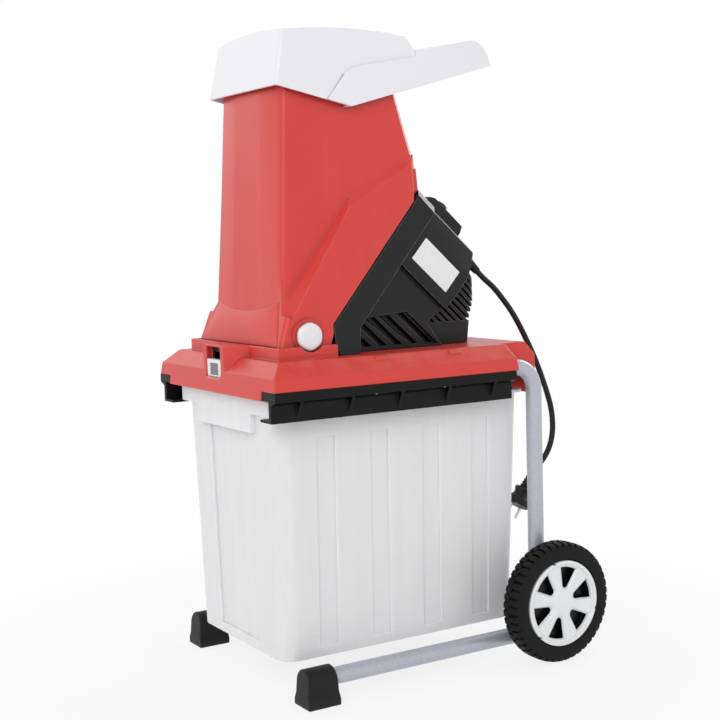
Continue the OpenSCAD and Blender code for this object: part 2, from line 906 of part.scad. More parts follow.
// The channels and the front panel, pressed into the walls, grown by thin on their inner side
module box_grooves(thin) {
  first_x = box_mid_x - (channel_count - 1) / 2 * channel_pitch;
  both_sides()
    for (k = [0:channel_count - 1])
      translate([first_x + k * channel_pitch, box_half - box_draft_y, box_low_z])
        rotate([-atan2(box_draft_y, box_tall), 0, 0])
          translate([-channel_w / 2 - thin, -channel_deep - thin, groove_low - thin])
            cube([channel_w + 2 * thin, over, box_tall - groove_top - groove_low + 2 * thin]);
  translate([box_front_x + box_draft_front, 0, box_low_z])
    rotate([0, -atan2(box_draft_front, box_tall), 0])
      translate([panel_deep + thin - over, -panel_w / 2 - thin, groove_low - thin])
        cube([over, panel_w + 2 * thin, box_tall - box_rim_t - groove_low + 2 * thin - 4]);
}

// The rim all round, its upright band at the front, and the grip lip under it
module box_rim() {
  inner = box_rim_half - box_wall;
  past = box_rim_half + over;
  web_l = rim_reach + box_wall;
  translate([0, 0, box_rim_z])
    linear_extrude(height = box_rim_t) rounded(rim_front_x, box_rear_x + 1, box_rim_half, rim_corner);
  translate([0, 0, box_rim_z])
    linear_extrude(height = band_top_z - box_rim_z)
      difference() {
        rounded(rim_front_x, box_rear_x, box_rim_half, rim_corner);
        rounded(rim_front_x + box_wall, box_rear_x + over, inner, rim_corner - box_wall);
        translate([rim_front_x + band_l, -past]) square([box_rear_x - rim_front_x, 2 * past]);
      }
  translate([rim_front_x, -grip_w / 2, grip_low_z]) cube([box_wall, grip_w, grip_h + 1]);
  both_sides()
    translate([rim_front_x, grip_w / 2 - box_wall, grip_low_z]) cube([web_l, box_wall, grip_h + 1]);
}

module collection_box() {
  color(milk)
    difference() {
      union() {
        difference() {
          box_form(0, box_low_z);
          box_grooves(0);
        }
        box_rim();
      }
      difference() {
        box_form(box_wall, box_low_z + box_wall);
        box_grooves(box_wall);
      }
    }
}

// Hopper

column_low_z = deck_z + column_low_h;
hood_edge_z = deck_z + hood_edge_h;
column_lap = 14;
hood_v_x = -87;
hood_v_drop = 27;
hood_rear_rise = 67;
hood_v_z = hood_edge_z - hood_v_drop;
tray_slope = hood_rear_rise / (tray_rear_x - hood_v_x);
slant_low = at_slant(-slant_half, 0);
slant_top = at_slant(slant_half, 0);
chamber_rear_z = deck_z + chamber_rear_h;
chamber_rear_x = slant_top.x - 4;
chamber_knee = [knee_x, deck_z + knee_h];
column_lean = (column_front_top_x - column_front_low_x) / (hood_edge_z - column_low_z);
rear_top_x = chamber_rear_x - 32;
rear_top_z = hood_v_z + (rear_top_x - hood_v_x) * tray_slope + column_lap;
front_top_z = hood_edge_z + column_lap - 4;
function column_front(z) = column_front_low_x + column_lean * (z - column_low_z);

column_outline = [
  [column_front(slant_low.y), slant_low.y], slant_low, slant_top, [chamber_rear_x, chamber_rear_z],
  [rear_top_x, rear_top_z], [hood_v_x, hood_v_z + column_lap], [column_front(front_top_z), front_top_z]
];
chamber_outline = [
  [skirt_front_x, skirt_z], [slant_low.x - 9, skirt_z - 6], [slant_low.x - 1, pivot_z], slant_low, slant_top,
  [chamber_rear_x, chamber_rear_z], chamber_knee, [column_front(column_low_z), column_low_z]
];
column_slope = (column_half_top - column_half_low) / (hood_edge_z - column_low_z);
chamber_slope = (chamber_half_top - chamber_half_low) / (chamber_rear_z - skirt_z);
function column_half(z) = column_half_low + column_slope * (z - column_low_z);
function chamber_half(z) = chamber_half_low + chamber_slope * (z - skirt_z);

// A tall cylinder whose face is the bowed front, leaning back with the front wall
module bowed_front(front_x, at_z, lean, half, thin) {
  bow_r = (half * half + front_bow * front_bow) / (2 * front_bow);
  translate([front_x - front_bow + bow_r, 0, at_z])
    rotate([0, atan(lean), 0])
      cylinder(r = bow_r - thin, h = 1600, center = true, $fn = 180);
}

// Its rear wall stands a little inside the chamber's
module column(t) {
  thin = t[0];
  rear_step = 0.5;
  bow = thin == 0 ? front_bow : front_bow + thin;
  intersection() {
    across(column_half_low + over)
      polygon(inset(column_outline, [-t[1], -t[1], thin + rear_step, thin, -t[1], -t[1], -front_bow]));
    drafted(column_half_low, column_low_z, column_half_top, hood_edge_z, thin);
    bowed_front(column_front_low_x, column_low_z, column_lean, column_half_low, bow - front_bow);
  }
}

module chamber(t) {
  thin = t[0];
  out = chamber_outline;
  knee_mid = (out[6] + out[7]) / 2;
  top_mid = (out[5] + out[6]) / 2;
  rear_half = chamber_half(chamber_rear_z);
  difference() {
    intersection() {
      across(chamber_half_low + over)
        polygon(inset(out, [-t[1], thin, thin, -t[1], thin, thin, thin, thin]));
      drafted(chamber_half_low, skirt_z, chamber_half_top, chamber_rear_z, thin);
    }
    bevel_cut(out[7], out[6], column_half(out[6].y) - 1, chamber_half(knee_mid.y), chamber_bevel, thin);
    bevel_cut(out[6], out[5], column_half(out[5].y) - 1, chamber_half(top_mid.y), chamber_bevel, thin);
    bevel_cut(out[5], out[4], rear_half - rear_bevel, rear_half, rear_bevel, thin);
  }
}

module hopper_solid(t) {
  rear_half = column_half(chamber_rear_z);
  difference() {
    column(t);
    bevel_cut(column_outline[4], column_outline[3], rear_half - rear_bevel, rear_half, rear_bevel, t[0]);
  }
  chamber(t);
}

module hopper() {
  color(red)
    difference() {
      union() {
        difference() {
          hopper_solid([0, 0]);
          hopper_solid([hopper_wall, 5]);
        }
        both_sides()
          translate([pivot_x, ear_in, pivot_z])
            rotate([-90, 0, 0]) cylinder(r = ear_r, h = ear_out - ear_in);
      }
      both_sides()
        translate([pivot_x, ear_in - 1, pivot_z])
          rotate([-90, 0, 0]) cylinder(r = pivot_r + slip, h = ear_out - ear_in + 2);
    }
}

feed_gap = 4;
feed_t = 3;

module feed_plate() {
  hole_v = 20;
  hole_l = 96;
  hole_half = 62;
  low = at_slant(-slant_half, -feed_gap);
  span = 2 * slant_half;
  color(steel)
    difference() {
      intersection() {
        chamber([hopper_wall, 0]);
        translate([low.x, 0, low.y])
          rotate([0, -knife_tilt, 0])
            translate([0, -chamber_half_low, 0]) cube([span, 2 * chamber_half_low, feed_t]);
      }
      translate([low.x, 0, low.y])
        rotate([0, -knife_tilt, 0])
          translate([slant_half + hole_v - hole_l / 2, -hole_half, -1])
            cube([hole_l, 2 * hole_half, feed_t + 2]);
    }
}

module pivot_bolts() {
  color(steel)
    both_sides()
      translate([pivot_x, lug_in - 4, pivot_z])
        rotate([-90, 0, 0]) {
          cylinder(r = pivot_r, h = ear_out + air - lug_in + 4);
          cylinder(r = pivot_r + 4, h = 4);
        }
}

module pivot_caps() {
  cap_t = 8;
  color(white)
    both_sides()
      translate([pivot_x, ear_out + air, pivot_z])
        rotate([-90, 0, 0])
          intersection() {
            rotate([0, 0, 15]) linear_extrude(height = cap_t) circle(d = pivot_cap_d * 1.06, $fn = 6);
            cylinder(d1 = pivot_cap_d + 3, d2 = pivot_cap_d - 2, h = cap_t);
          }
}

// Hood

roof_z = hood_edge_z + 76;
tray_end_z = hood_v_z + hood_rear_rise;
tray_top_z = tray_end_z + tray_wall_h;
notch = [roof_rear_x + 14, roof_z - 19];
roof_mid_x = (hood_front_top_x + roof_rear_x) / 2;
roof_half_l = (roof_rear_x - hood_front_top_x) / 2;
roof_corner = norm([roof_half_l, hood_half_top]);
roof_r = (roof_corner * roof_corner + roof_crown * roof_crown) / (2 * roof_crown);
hood_lean = (hood_front_top_x - hood_front_low_x) / (roof_z - hood_edge_z);
cap_outline = [
  [hood_front_low_x, hood_edge_z], [hood_v_x, hood_v_z],
  [notch.x, hood_v_z + (notch.x - hood_v_x) * tray_slope], notch,
  [2 * roof_rear_x - notch.x, 2 * roof_z - notch.y], [hood_front_top_x + hood_lean * over, roof_z + over]
];
tray_outline = [
  [hood_v_x, hood_v_z], [tray_rear_x, tray_end_z], [tray_rear_x - 5, tray_end_z + tray_wall_h * 0.45],
  [tray_rear_x - 14, tray_end_z + tray_wall_h * 0.8], [tray_rear_x - 28, tray_top_z], notch,
  [notch.x, notch.y - 9], [hood_v_x + 22, hood_v_z + 59], [hood_v_x + 4, hood_v_z + 54],
  [hood_v_x - 9, hood_v_z + 46], [hood_v_x - 40, hood_v_z + hood_v_drop * 40 / (hood_v_x - hood_front_low_x)]
];

module hood_sides(thin) {
  drafted(hood_half_low, hood_edge_z, hood_half_top, roof_z, thin);
}

// The roof is part of a large ball, so it bows both ways
module hood_cap(thin) {
  intersection() {
    across(hood_half_low + over)
      polygon(inset(cap_outline, [-thin * 4, thin, -thin, thin, 0, thin]));
    hood_sides(thin);
    translate([roof_mid_x, 0, roof_z + roof_crown - roof_r]) sphere(r = roof_r - thin, $fn = 180);
  }
}

module hood_tray(thin) {
  sides = thin == 0 ? -tray_step : thin;
  end = -thin * 4;
  intersection() {
    across(hood_half_low + over)
      polygon(inset(tray_outline, [for (i = [0:len(tray_outline) - 1]) i == 0 ? thin : end]));
    hood_sides(sides);
  }
}

module hood() {
  color(white)
    difference() {
      union() {
        hood_cap(0);
        hood_tray(0);
      }
      hood_cap(hood_wall);
      hood_tray(hood_wall);
      column([0, 0]);
    }
}

// Cutting unit

flange_gap = 0.4;
flange_foot_x = slant_low.x + 8;
flange_back_low = at_slant(-slant_half + 24, flange_t);
flange_root_x = flange_back_low.x - 4;
flange_outline = [
  [flange_foot_x, deck_z], [flange_root_x, deck_z], flange_back_low,
  at_slant(slant_half, flange_t), at_slant(slant_half, flange_gap), at_slant(-slant_half + 1, flange_gap),
  [slant_low.x + 1.5, deck_z + 12]
];

module motor_flange() {
  w = flange_wall;
  color(black)
    difference() {
      intersection() {
        across(chamber_half_low + over) polygon(flange_outline);
        drafted(chamber_half_low, skirt_z, chamber_half_top, chamber_rear_z, 0);
      }
      intersection() {
        across(chamber_half_low + over)
          polygon(inset(flange_outline, [-over, w, bulkhead_t, w, -over, w, w]));
        drafted(chamber_half_low, skirt_z, chamber_half_top, chamber_rear_z, w);
      }
      bevel_cut(slant_top, at_slant(slant_half, flange_t), chamber_half(slant_top.y) - rear_bevel,
                chamber_half(slant_top.y), rear_bevel);
      on_motor_axis(flange_t - 2 * bulkhead_t) cylinder(r = bearing_r + 2, h = 3 * bulkhead_t);
    }
}

bearing_r = 17.5;
bearing_t = 11;
can_plate = 12;
can_shell = 7;
disc_s = 6;

module motor_can() {
  inner_r = can_r - can_shell;
  color(steel)
    on_motor_axis(flange_t)
      difference() {
        cylinder(r = can_r, h = can_l);
        translate([0, 0, can_plate]) cylinder(r = inner_r, h = can_l - 2 * can_plate);
        translate([0, 0, -1]) cylinder(r = bearing_r + seat, h = can_l + 2);
      }
}

module stator() {
  color(steel)
    on_motor_axis(flange_t + can_plate + 10)
      difference() {
        cylinder(r = can_r - can_shell - seat, h = can_l - 2 * can_plate - 26);
        translate([0, 0, -1]) cylinder(r = rotor_r + 0.6, h = can_l);
      }
}

module bearing() {
  color(steel)
    difference() {
      cylinder(r = bearing_r, h = bearing_t);
      translate([0, 0, -1]) cylinder(r = shaft_r + seat, h = bearing_t + 2);
    }
}
module bearing_front() { on_motor_axis(flange_t + 0.5) bearing(); }
module bearing_rear() { on_motor_axis(flange_t + can_l - bearing_t - 0.5) bearing(); }

module motor_shaft() {
  color(steel)
    on_motor_axis(disc_s) cylinder(r = shaft_r, h = flange_t + can_l - disc_s);
}

module rotor() {
  color(steel)
    on_motor_axis(flange_t + can_plate + 10)
      difference() {
        cylinder(r = rotor_r, h = can_l - 2 * can_plate - 26);
        translate([0, 0, -1]) cylinder(r = shaft_r + seat, h = can_l);
      }
}

module cooling_fan() {
  fan_t = 9;
  vane_t = 2;
  fan_r = can_r - can_shell - 5;
  color(black)
    on_motor_axis(flange_t + can_l - can_plate - fan_t - 2)
      difference() {
        union() {
          cylinder(r = shaft_r + 6, h = fan_t);
          cylinder(r = fan_r, h = 2);
          for (k = [0:8])
            rotate([0, 0, 40 * k])
              translate([shaft_r + 3, -vane_t / 2, 0]) cube([fan_r - shaft_r - 5, vane_t, fan_t]);
        }
        translate([0, 0, -1]) cylinder(r = shaft_r + seat, h = fan_t + 2);
      }
}

blade_mid = shaft_r + 18 + blade_l / 2;
screw_r = 4;
screw_step = blade_l / 4;

module at_blades() {
  for (turn = [0, 180])
    on_motor_axis(disc_s) rotate([0, 0, turn + 30]) translate([blade_mid, 0, 0]) children();
}

module blade_disc() {
  slot_w = 12;
  color(steel)
    difference() {
      on_motor_axis(disc_s) cylinder(r = disc_r, h = disc_t, $fn = 96);
      on_motor_axis(disc_s - 1) cylinder(r = shaft_r + seat, h = disc_t + 2);
      at_blades() {
        translate([-blade_l / 2 + 4, blade_w / 2 - 2, -1]) cube([blade_l - 8, slot_w, disc_t + 2]);
        for (x = [-screw_step, screw_step])
          translate([x, 0, -1]) cylinder(r = screw_r + seat, h = disc_t + 2);
      }
    }
}

module blades() {
  edge = 4;
  color(steel)
    at_blades()
      difference() {
        translate([-blade_l / 2, 0, 0])
          rotate([90, 0, 90])
            linear_extrude(height = blade_l)
              polygon([
                [-blade_w / 2, -blade_t], [blade_w / 2, -blade_t],
                [blade_w / 2 - edge, 0], [edge - blade_w / 2, 0]
              ]);
        for (x = [-screw_step, screw_step])
          translate([x, 0, -blade_t - 1]) cylinder(r = screw_r + seat, h = blade_t + 2);
      }
}

module blade_screws() {
  head_r = 7;
  head_t = 1.5;
  nut_t = 5;
  color(steel)
    at_blades()
      for (x = [-screw_step, screw_step])
        translate([x, 0, 0]) {
          translate([0, 0, -blade_t]) cylinder(r = screw_r, h = blade_t + disc_t + nut_t);
          translate([0, 0, -blade_t - head_t]) cylinder(r = head_r, h = head_t);
          translate([0, 0, disc_t]) cylinder(r = head_r, h = nut_t, $fn = 6);
        }
}

module disc_bolt() {
  washer_t = 3;
  head_t = 5;
  color(steel)
    on_motor_axis(disc_s - washer_t) {
      cylinder(r = shaft_r + 7, h = washer_t);
      translate([0, 0, -head_t]) cylinder(r = 10, h = head_t, $fn = 6);
    }
}

// Motor housing

cover_arc_c = let (v = 53) [v, cover_reach + 13 - cover_arc_r];
arc_top_a = asin((cover_top_v - cover_arc_c.x) / cover_arc_r);
arc_low_a = asin((-15 - cover_arc_c.x) / cover_arc_r);
cover_end = [
  for (k = [0:8])
    let (a = arc_low_a + (arc_top_a - arc_low_a) * k / 8)
    at_slant(cover_arc_c.x + cover_arc_r * sin(a), cover_arc_c.y + cover_arc_r * cos(a))
];
cover_low_rear = [cover_end[0].x + 31, deck_z];
cover_outline = concat(
  [[flange_back_low.x - 3.6, deck_z], cover_low_rear], cover_end,
  [at_slant(cover_top_v, flange_t), [flange_back_low.x + 0.3, flange_back_low.y - 0.3]]
);
cover_edges = len(cover_outline);
panel_low_v = 18;
roof_in = 12;
roof_deep = 38;

// The label panel, the wider middle of the cover's sides
module cover_panel(thin) {
  intersection() {
    across(cover_half - thin) polygon(inset(cover_outline, cover_insets(thin)));
    across(cover_half)
      polygon([
        at_slant(panel_low_v + thin, 0), at_slant(panel_low_v + thin, 2 * cover_reach),
        at_slant(2 * cover_top_v, 2 * cover_reach), at_slant(2 * cover_top_v, 0)
      ]);
  }
}

function cover_insets(thin) = thin == 0 ? [for (i = [1:cover_edges]) 0] : [
  for (i = [0:cover_edges - 1]) i == 0 || i >= cover_edges - 2 ? -over : thin
];

module cover_form(thin) {
  difference() {
    union() {
      across(cover_half - label_step - thin) polygon(inset(cover_outline, cover_insets(thin)));
      cover_panel(thin);
    }
    bevel_cut(at_slant(cover_top_v, flange_t), at_slant(cover_top_v, cover_reach),
              cover_half - roof_in, cover_half, roof_deep, thin);
  }
}

// The louvred recess in the lower corner of the cover's side, its slots parallel to the motor axis
louvre_field = [
  [flange_back_low.x + 3, deck_z + 4], [cover_low_rear.x - 11, deck_z + 4], cover_end[0] + [-35, 18],
  [flange_back_low.x + 12, deck_z + 48]
];
louvre_deep = 5;
louvre_top_v = -29;
cover_side = cover_half - label_step;

// An outline in the X-Z plane, drawn out between two distances from the middle plane
module slab(from_y, to_y) {
  translate([0, (from_y + to_y) / 2, 0])
    across((to_y - from_y) / 2)
      children();
}

module louvre_block() {
  grow = -cover_wall;
  both_sides()
    slab(cover_side - louvre_deep - cover_wall, cover_side - 0.5)
      intersection() {
        polygon(inset(louvre_field, [grow / 2, grow / 2, grow, grow / 2]));
        polygon(cover_outline);
      }
}

module louvre_cut() {
  slots = 6;
  both_sides() {
    slab(cover_side - louvre_deep, cover_side + over) polygon(louvre_field);
    intersection() {
      slab(cover_side - louvre_deep - 2 * cover_wall, cover_side)
        polygon(inset(louvre_field, [2, 2, 2, 2]));
      for (k = [0:slots - 1])
        let (top_v = louvre_top_v - k * louvre_pitch, low_v = top_v - louvre_w)
        slab(0, cover_side)
          polygon([at_slant(top_v, 0), at_slant(low_v, 0), at_slant(low_v, 260), at_slant(top_v, 260)]);
    }
  }
}

gland_v = 109;
gland_r = 9;
gland_s = cover_reach + 4;
cord_y = -88;

module motor_cover() {
  color(black)
    difference() {
      union() {
        difference() {
          cover_form(0);
          cover_form(cover_wall);
        }
        louvre_block();
      }
      louvre_cut();
      cowl_form(-1.5);
      place_gland(-over) cylinder(r = gland_r + seat, h = 2 * over);
    }
}

cowl_top_v = 98;
cowl_start_s = flange_t + 6;
cowl_front_low = at_slant(-100, cowl_start_s);
cowl_lean = 6;
cowl_bend_h = 43;
cowl_outline = [
  [cowl_front_low.x, deck_z], [cowl_rear_x, deck_z], [cowl_rear_x + cowl_lean, deck_z + cowl_bend_h],
  [cowl_rear_x + 16, deck_z + 58], [cowl_rear_x + 24, deck_z + 73], at_slant(cowl_top_v, 178),
  at_slant(cowl_top_v, cowl_start_s), cowl_front_low
];

// The cowl's envelope, thin inside its outer faces, with round upright corners at the rear
module cowl_form(thin) {
  corner = 30;
  shut = thin > 0 ? -over : 0;
  rear = cowl_rear_x + 26 - thin;
  half = cowl_half - thin;
  intersection() {
    across(half)
      polygon(inset(cowl_outline, [shut, thin, thin, thin, thin, thin, shut, shut]));
    translate([0, 0, deck_z - 3 * over])
      linear_extrude(height = 12 * over)
        rounded(-300, rear, half, corner - thin);
  }
}

module motor_cowl() {
  first_v = cowl_top_v - 8;
  color(black)
    difference() {
      cowl_form(0);
      cowl_form(cowl_wall);
      intersection() {
        for (k = [0:rib_count - 1])
          let (top_v = first_v - k * rib_pitch, low_v = top_v - rib_gap)
          difference() {
            across(cowl_half + over)
              polygon([at_slant(top_v, 0), at_slant(low_v, 0), at_slant(low_v, 300), at_slant(top_v, 300)]);
            cowl_form(rib_deep);
          }
        translate([0, -cowl_half - over, deck_z + rib_low_h])
          cube([3 * cowl_rear_x, 2 * (cowl_half + over), 12 * over]);
      }
    }
}

module label_plate() {
  mid_v = 56;
  mid_s = 89;
  low_v = mid_v - label_w / 2;
  top_v = mid_v + label_w / 2;
  near_s = mid_s - label_l / 2;
  far_s = mid_s + label_l / 2;
  color(white)
    translate([0, -cover_half, 0])
      rotate([90, 0, 0])
        linear_extrude(height = label_t)
          polygon([
            at_slant(low_v, near_s), at_slant(low_v, far_s), at_slant(top_v, far_s), at_slant(top_v, near_s)
          ]);
}

// Switch

switch_s = 44;
switch_top_v = cover_top_v + switch_h;
button_s = switch_s + switch_l * 0.42;
button_y = switch_half * 0.66;
button_l = 10;

module switch_box() {
  ends = 10;
  color(black)
    difference() {
      across(switch_half)
        polygon([
          at_slant(cover_top_v, switch_s), at_slant(cover_top_v, switch_s + switch_l),
          at_slant(switch_top_v - ends, switch_s + switch_l), at_slant(switch_top_v, switch_s + switch_l - 4),
          at_slant(switch_top_v, switch_s + ends), at_slant(switch_top_v - 6, switch_s)
        ]);
      for (y = [-button_y, button_y])
        on_cover_top(switch_top_v - button_l, button_s, y) cylinder(r = button_r + air, h = button_l + 1);
    }
}

module button(y, tint) {
  color(tint)
    on_cover_top(switch_top_v - button_l + button_travel + 0.5, button_s, y)
      cylinder(r = button_r, h = button_l - button_travel - 0.5 + button_out);
}
module start_button() { button(-button_y, [0.10, 0.42, 0.18]); }
module stop_button() { button(button_y, [0.66, 0.10, 0.09]); }

// Cord

gland_tip_r = cord_r + 1.5;

module place_gland(from) {
  place = at_slant(gland_v, gland_s + from);
  translate([place.x, cord_y, place.y])
    rotate([0, 180 - knife_tilt, 0])
      children();
}

module cord_gland() {
  color(black)
    place_gland(-6) {
      cylinder(r = gland_r, h = 10);
      translate([0, 0, 10]) cylinder(r1 = gland_r - 1, r2 = gland_tip_r, h = gland_l - 4);
    }
}

// Route of the lead in the plane y = cord_y: straight out of the strain relief, then hanging to the plug
cord_exit = at_slant(gland_v, gland_s + gland_l);
cord_out = [sin(knife_tilt), -cos(knife_tilt)];
plug_start = [242, 257];
plug_way = [-sin(plug_tilt), -cos(plug_tilt)];
cord_route = concat(
  [cord_exit, cord_exit + cord_out * 14],
  [[174, 556], [190, 539], [206, 520], [221, 498], [235, 474], [248, 450], [259, 427], [269, 403], [278, 379],
   [284, 358], [287, 337], [286, 317], [280, 298], [269, 281], [256, 269]],
  [plug_start]
);
cord_sides = 10;

function cord_heading(i) =
  i == 0 ? cord_out
  : i == len(cord_route) - 1 ? plug_way
  : let (d = cord_route[i + 1] - cord_route[i - 1]) d / norm(d);
cord_ring_points = [
  for (i = [0:len(cord_route) - 1])
    let (n = left_of(cord_heading(i)))
    for (k = [0:cord_sides - 1])
      let (a = 360 * k / cord_sides, p = cord_route[i] + n * cord_r * cos(a))
      [p.x, cord_y + cord_r * sin(a), p.y]
];
cord_last = (len(cord_route) - 1) * cord_sides;
cord_faces = concat(
  [[for (k = [0:cord_sides - 1]) k]],
  [for (i = [0:len(cord_route) - 2])
    for (k = [0:cord_sides - 1])
      let (a = i * cord_sides + k, b = i * cord_sides + (k + 1) % cord_sides)
      each [[a, a + cord_sides, b], [b, a + cord_sides, b + cord_sides]]],
  [[for (k = [cord_sides - 1:-1:0]) cord_last + k]]
);

module power_cord() {
  color(black) polyhedron(points = cord_ring_points, faces = cord_faces);
}

relief_l = 26;
pin_gap = 19;

module on_plug(from) {
  translate([plug_start.x, cord_y, plug_start.y])
    rotate([0, 180 + plug_tilt, 0])
      translate([0, 0, from]) children();
}

module plug_body() {
  neck_r = cord_r + 4;
  color(black)
    on_plug(0) {
      cylinder(r1 = cord_r + 1, r2 = neck_r, h = relief_l);
      translate([0, 0, relief_l - 1]) cylinder(r1 = plug_r - 3, r2 = plug_r, h = plug_l / 3 + 1);
      translate([0, 0, relief_l + plug_l / 3]) cylinder(r = plug_r, h = plug_l * 2 / 3);
    }
}

module plug_pins() {
  pin_r = 2.4;
  pin_l = 19;
  color(steel)
    on_plug(relief_l + plug_l)
      for (x = [-pin_gap / 2, pin_gap / 2])
        translate([x, 0, 0]) cylinder(r = pin_r, h = pin_l);
}

frame_tube_left();
frame_tube_right();
foot_left();
foot_right();
axle();
axle_spacers();
axle_clips();
wheel_left();
wheel_right();
tyre_left();
tyre_right();
wheel_cover_left();
wheel_cover_right();
base_tray();
rail_left();
rail_right();
collection_box();
box_latch();
motor_flange();
motor_cover();
motor_cowl();
label_plate();
motor_can();
stator();
bearing_front();
bearing_rear();
motor_shaft();
rotor();
cooling_fan();
blade_disc();
blades();
blade_screws();
disc_bolt();
switch_box();
start_button();
stop_button();
hopper();
feed_plate();
hood();
pivot_bolts();
pivot_caps();
cord_gland();
power_cord();
plug_body();
plug_pins();
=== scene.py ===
import json
import math

import bmesh
import bpy
from mathutils import Matrix, Vector


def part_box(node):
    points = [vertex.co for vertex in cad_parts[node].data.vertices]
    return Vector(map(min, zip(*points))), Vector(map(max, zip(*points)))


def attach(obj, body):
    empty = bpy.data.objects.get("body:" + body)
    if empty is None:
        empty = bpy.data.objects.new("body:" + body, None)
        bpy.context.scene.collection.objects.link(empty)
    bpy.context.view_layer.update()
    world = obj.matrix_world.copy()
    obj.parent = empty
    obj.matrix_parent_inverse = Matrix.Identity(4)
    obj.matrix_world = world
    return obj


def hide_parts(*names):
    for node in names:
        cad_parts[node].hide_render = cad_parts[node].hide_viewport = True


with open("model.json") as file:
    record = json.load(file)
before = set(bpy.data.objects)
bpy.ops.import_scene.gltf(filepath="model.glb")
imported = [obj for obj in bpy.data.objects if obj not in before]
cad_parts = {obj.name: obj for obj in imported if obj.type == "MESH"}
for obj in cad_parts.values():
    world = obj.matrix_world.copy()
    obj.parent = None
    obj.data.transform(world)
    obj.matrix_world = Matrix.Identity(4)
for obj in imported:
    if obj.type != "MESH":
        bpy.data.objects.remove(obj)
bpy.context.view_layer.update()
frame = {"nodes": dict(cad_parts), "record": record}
cadNodes = frame["nodes"]
scene = bpy.context.scene
scene.view_settings.view_transform = "Standard"
print("frame loaded:", len(cadNodes), "nodes")


# Camera, fitted to the photograph's view

cameraView = {
    "place": (-1.07916, -1.73857, 0.64101),  # metres
    "azimuth": -31.4,  # degrees round the machine
    "down": 5.3,  # degrees below the horizon
    "roll": -1.65,
    "lens": 66.67,  # millimetres on the sensor below
    "sensor": 36.0,
    "farthest": 50,  # metres
}


def placeCamera(view):
    turn, dip, roll = (math.radians(view[key]) for key in ("azimuth", "down", "roll"))
    back = Vector((math.sin(turn) * math.cos(dip), -math.cos(turn) * math.cos(dip), math.sin(dip)))
    side = (-back).cross(Vector((0, 0, 1))).normalized()
    up = side.cross(-back)
    rolledSide = side * math.cos(roll) + up * math.sin(roll)
    rolledUp = up * math.cos(roll) - side * math.sin(roll)
    data = bpy.data.cameras.new("photoCamera")
    data.lens = view["lens"]
    data.sensor_width = view["sensor"]
    data.clip_end = view["farthest"]
    camera = bpy.data.objects.new("photoCamera", data)
    turned = Matrix((rolledSide, rolledUp, back)).transposed().to_4x4()
    camera.matrix_world = Matrix.Translation(view["place"]) @ turned
    scene.collection.objects.link(camera)
    scene.camera = camera


placeCamera(cameraView)
print("camera placed")


# The lead, hanging from the strain relief to the plug

leadSettings = {
    "plane": -0.088,
    "diameter": 0.009,
    "length": 0.386,
    "roundSteps": 5,  # of the tube's section
    "spanSteps": 6,  # between knots
    "route": [  # along x and z
        (0.14378, 0.58159), (0.15419, 0.57222), (0.174, 0.556), (0.190, 0.539), (0.206, 0.520), (0.221, 0.498),
        (0.235, 0.474), (0.248, 0.450), (0.259, 0.427), (0.269, 0.403), (0.278, 0.379), (0.284, 0.358),
        (0.2866, 0.337), (0.2857, 0.317), (0.280, 0.298), (0.269, 0.281), (0.256, 0.269), (0.242, 0.257),
    ],
}


def makeLead(settings):
    data = bpy.data.curves.new("mainsLead", "CURVE")
    data.dimensions = "3D"
    data.bevel_depth = 1.0  # the knots carry the radius
    data.bevel_resolution = settings["roundSteps"]
    data.resolution_u = settings["spanSteps"]
    line = data.splines.new("BEZIER")
    line.bezier_points.add(len(settings["route"]) - 1)
    for knot, (x, z) in zip(line.bezier_points, settings["route"]):
        knot.co = (x, settings["plane"], z)
        knot.handle_left_type = "AUTO"
        knot.handle_right_type = "AUTO"
        knot.radius = settings["diameter"] / 2
    lead = bpy.data.objects.new("mainsLead", data)
    scene.collection.objects.link(lead)
    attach(lead, "stand")
    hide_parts("power_cord")
    return lead


mainsLead = makeLead(leadSettings)
print("lead hung")


# Node wiring: Wire is one socket with arithmetic, Board is the node tree of a material or the world

class Wire:
    def __init__(self, board, socket):
        self.board = board
        self.socket = socket

    def maths(self, operation, first, second):
        return self.board.add("ShaderNodeMath", {"operation": operation}, {0: first, 1: second})

    def __add__(self, other):
        return self.maths("ADD", self, other)

    __radd__ = __add__

    def __sub__(self, other):
        return self.maths("SUBTRACT", self, other)

    def __rsub__(self, other):
        return self.maths("SUBTRACT", other, self)

    def __mul__(self, other):
        return self.maths("MULTIPLY", self, other)

    __rmul__ = __mul__

    def __truediv__(self, other):
        return self.maths("DIVIDE", self, other)

    def __rtruediv__(self, other):
        return self.maths("DIVIDE", other, self)

    def clamped(self):
        return self.board.add("ShaderNodeClamp", {}, {"Value": self})


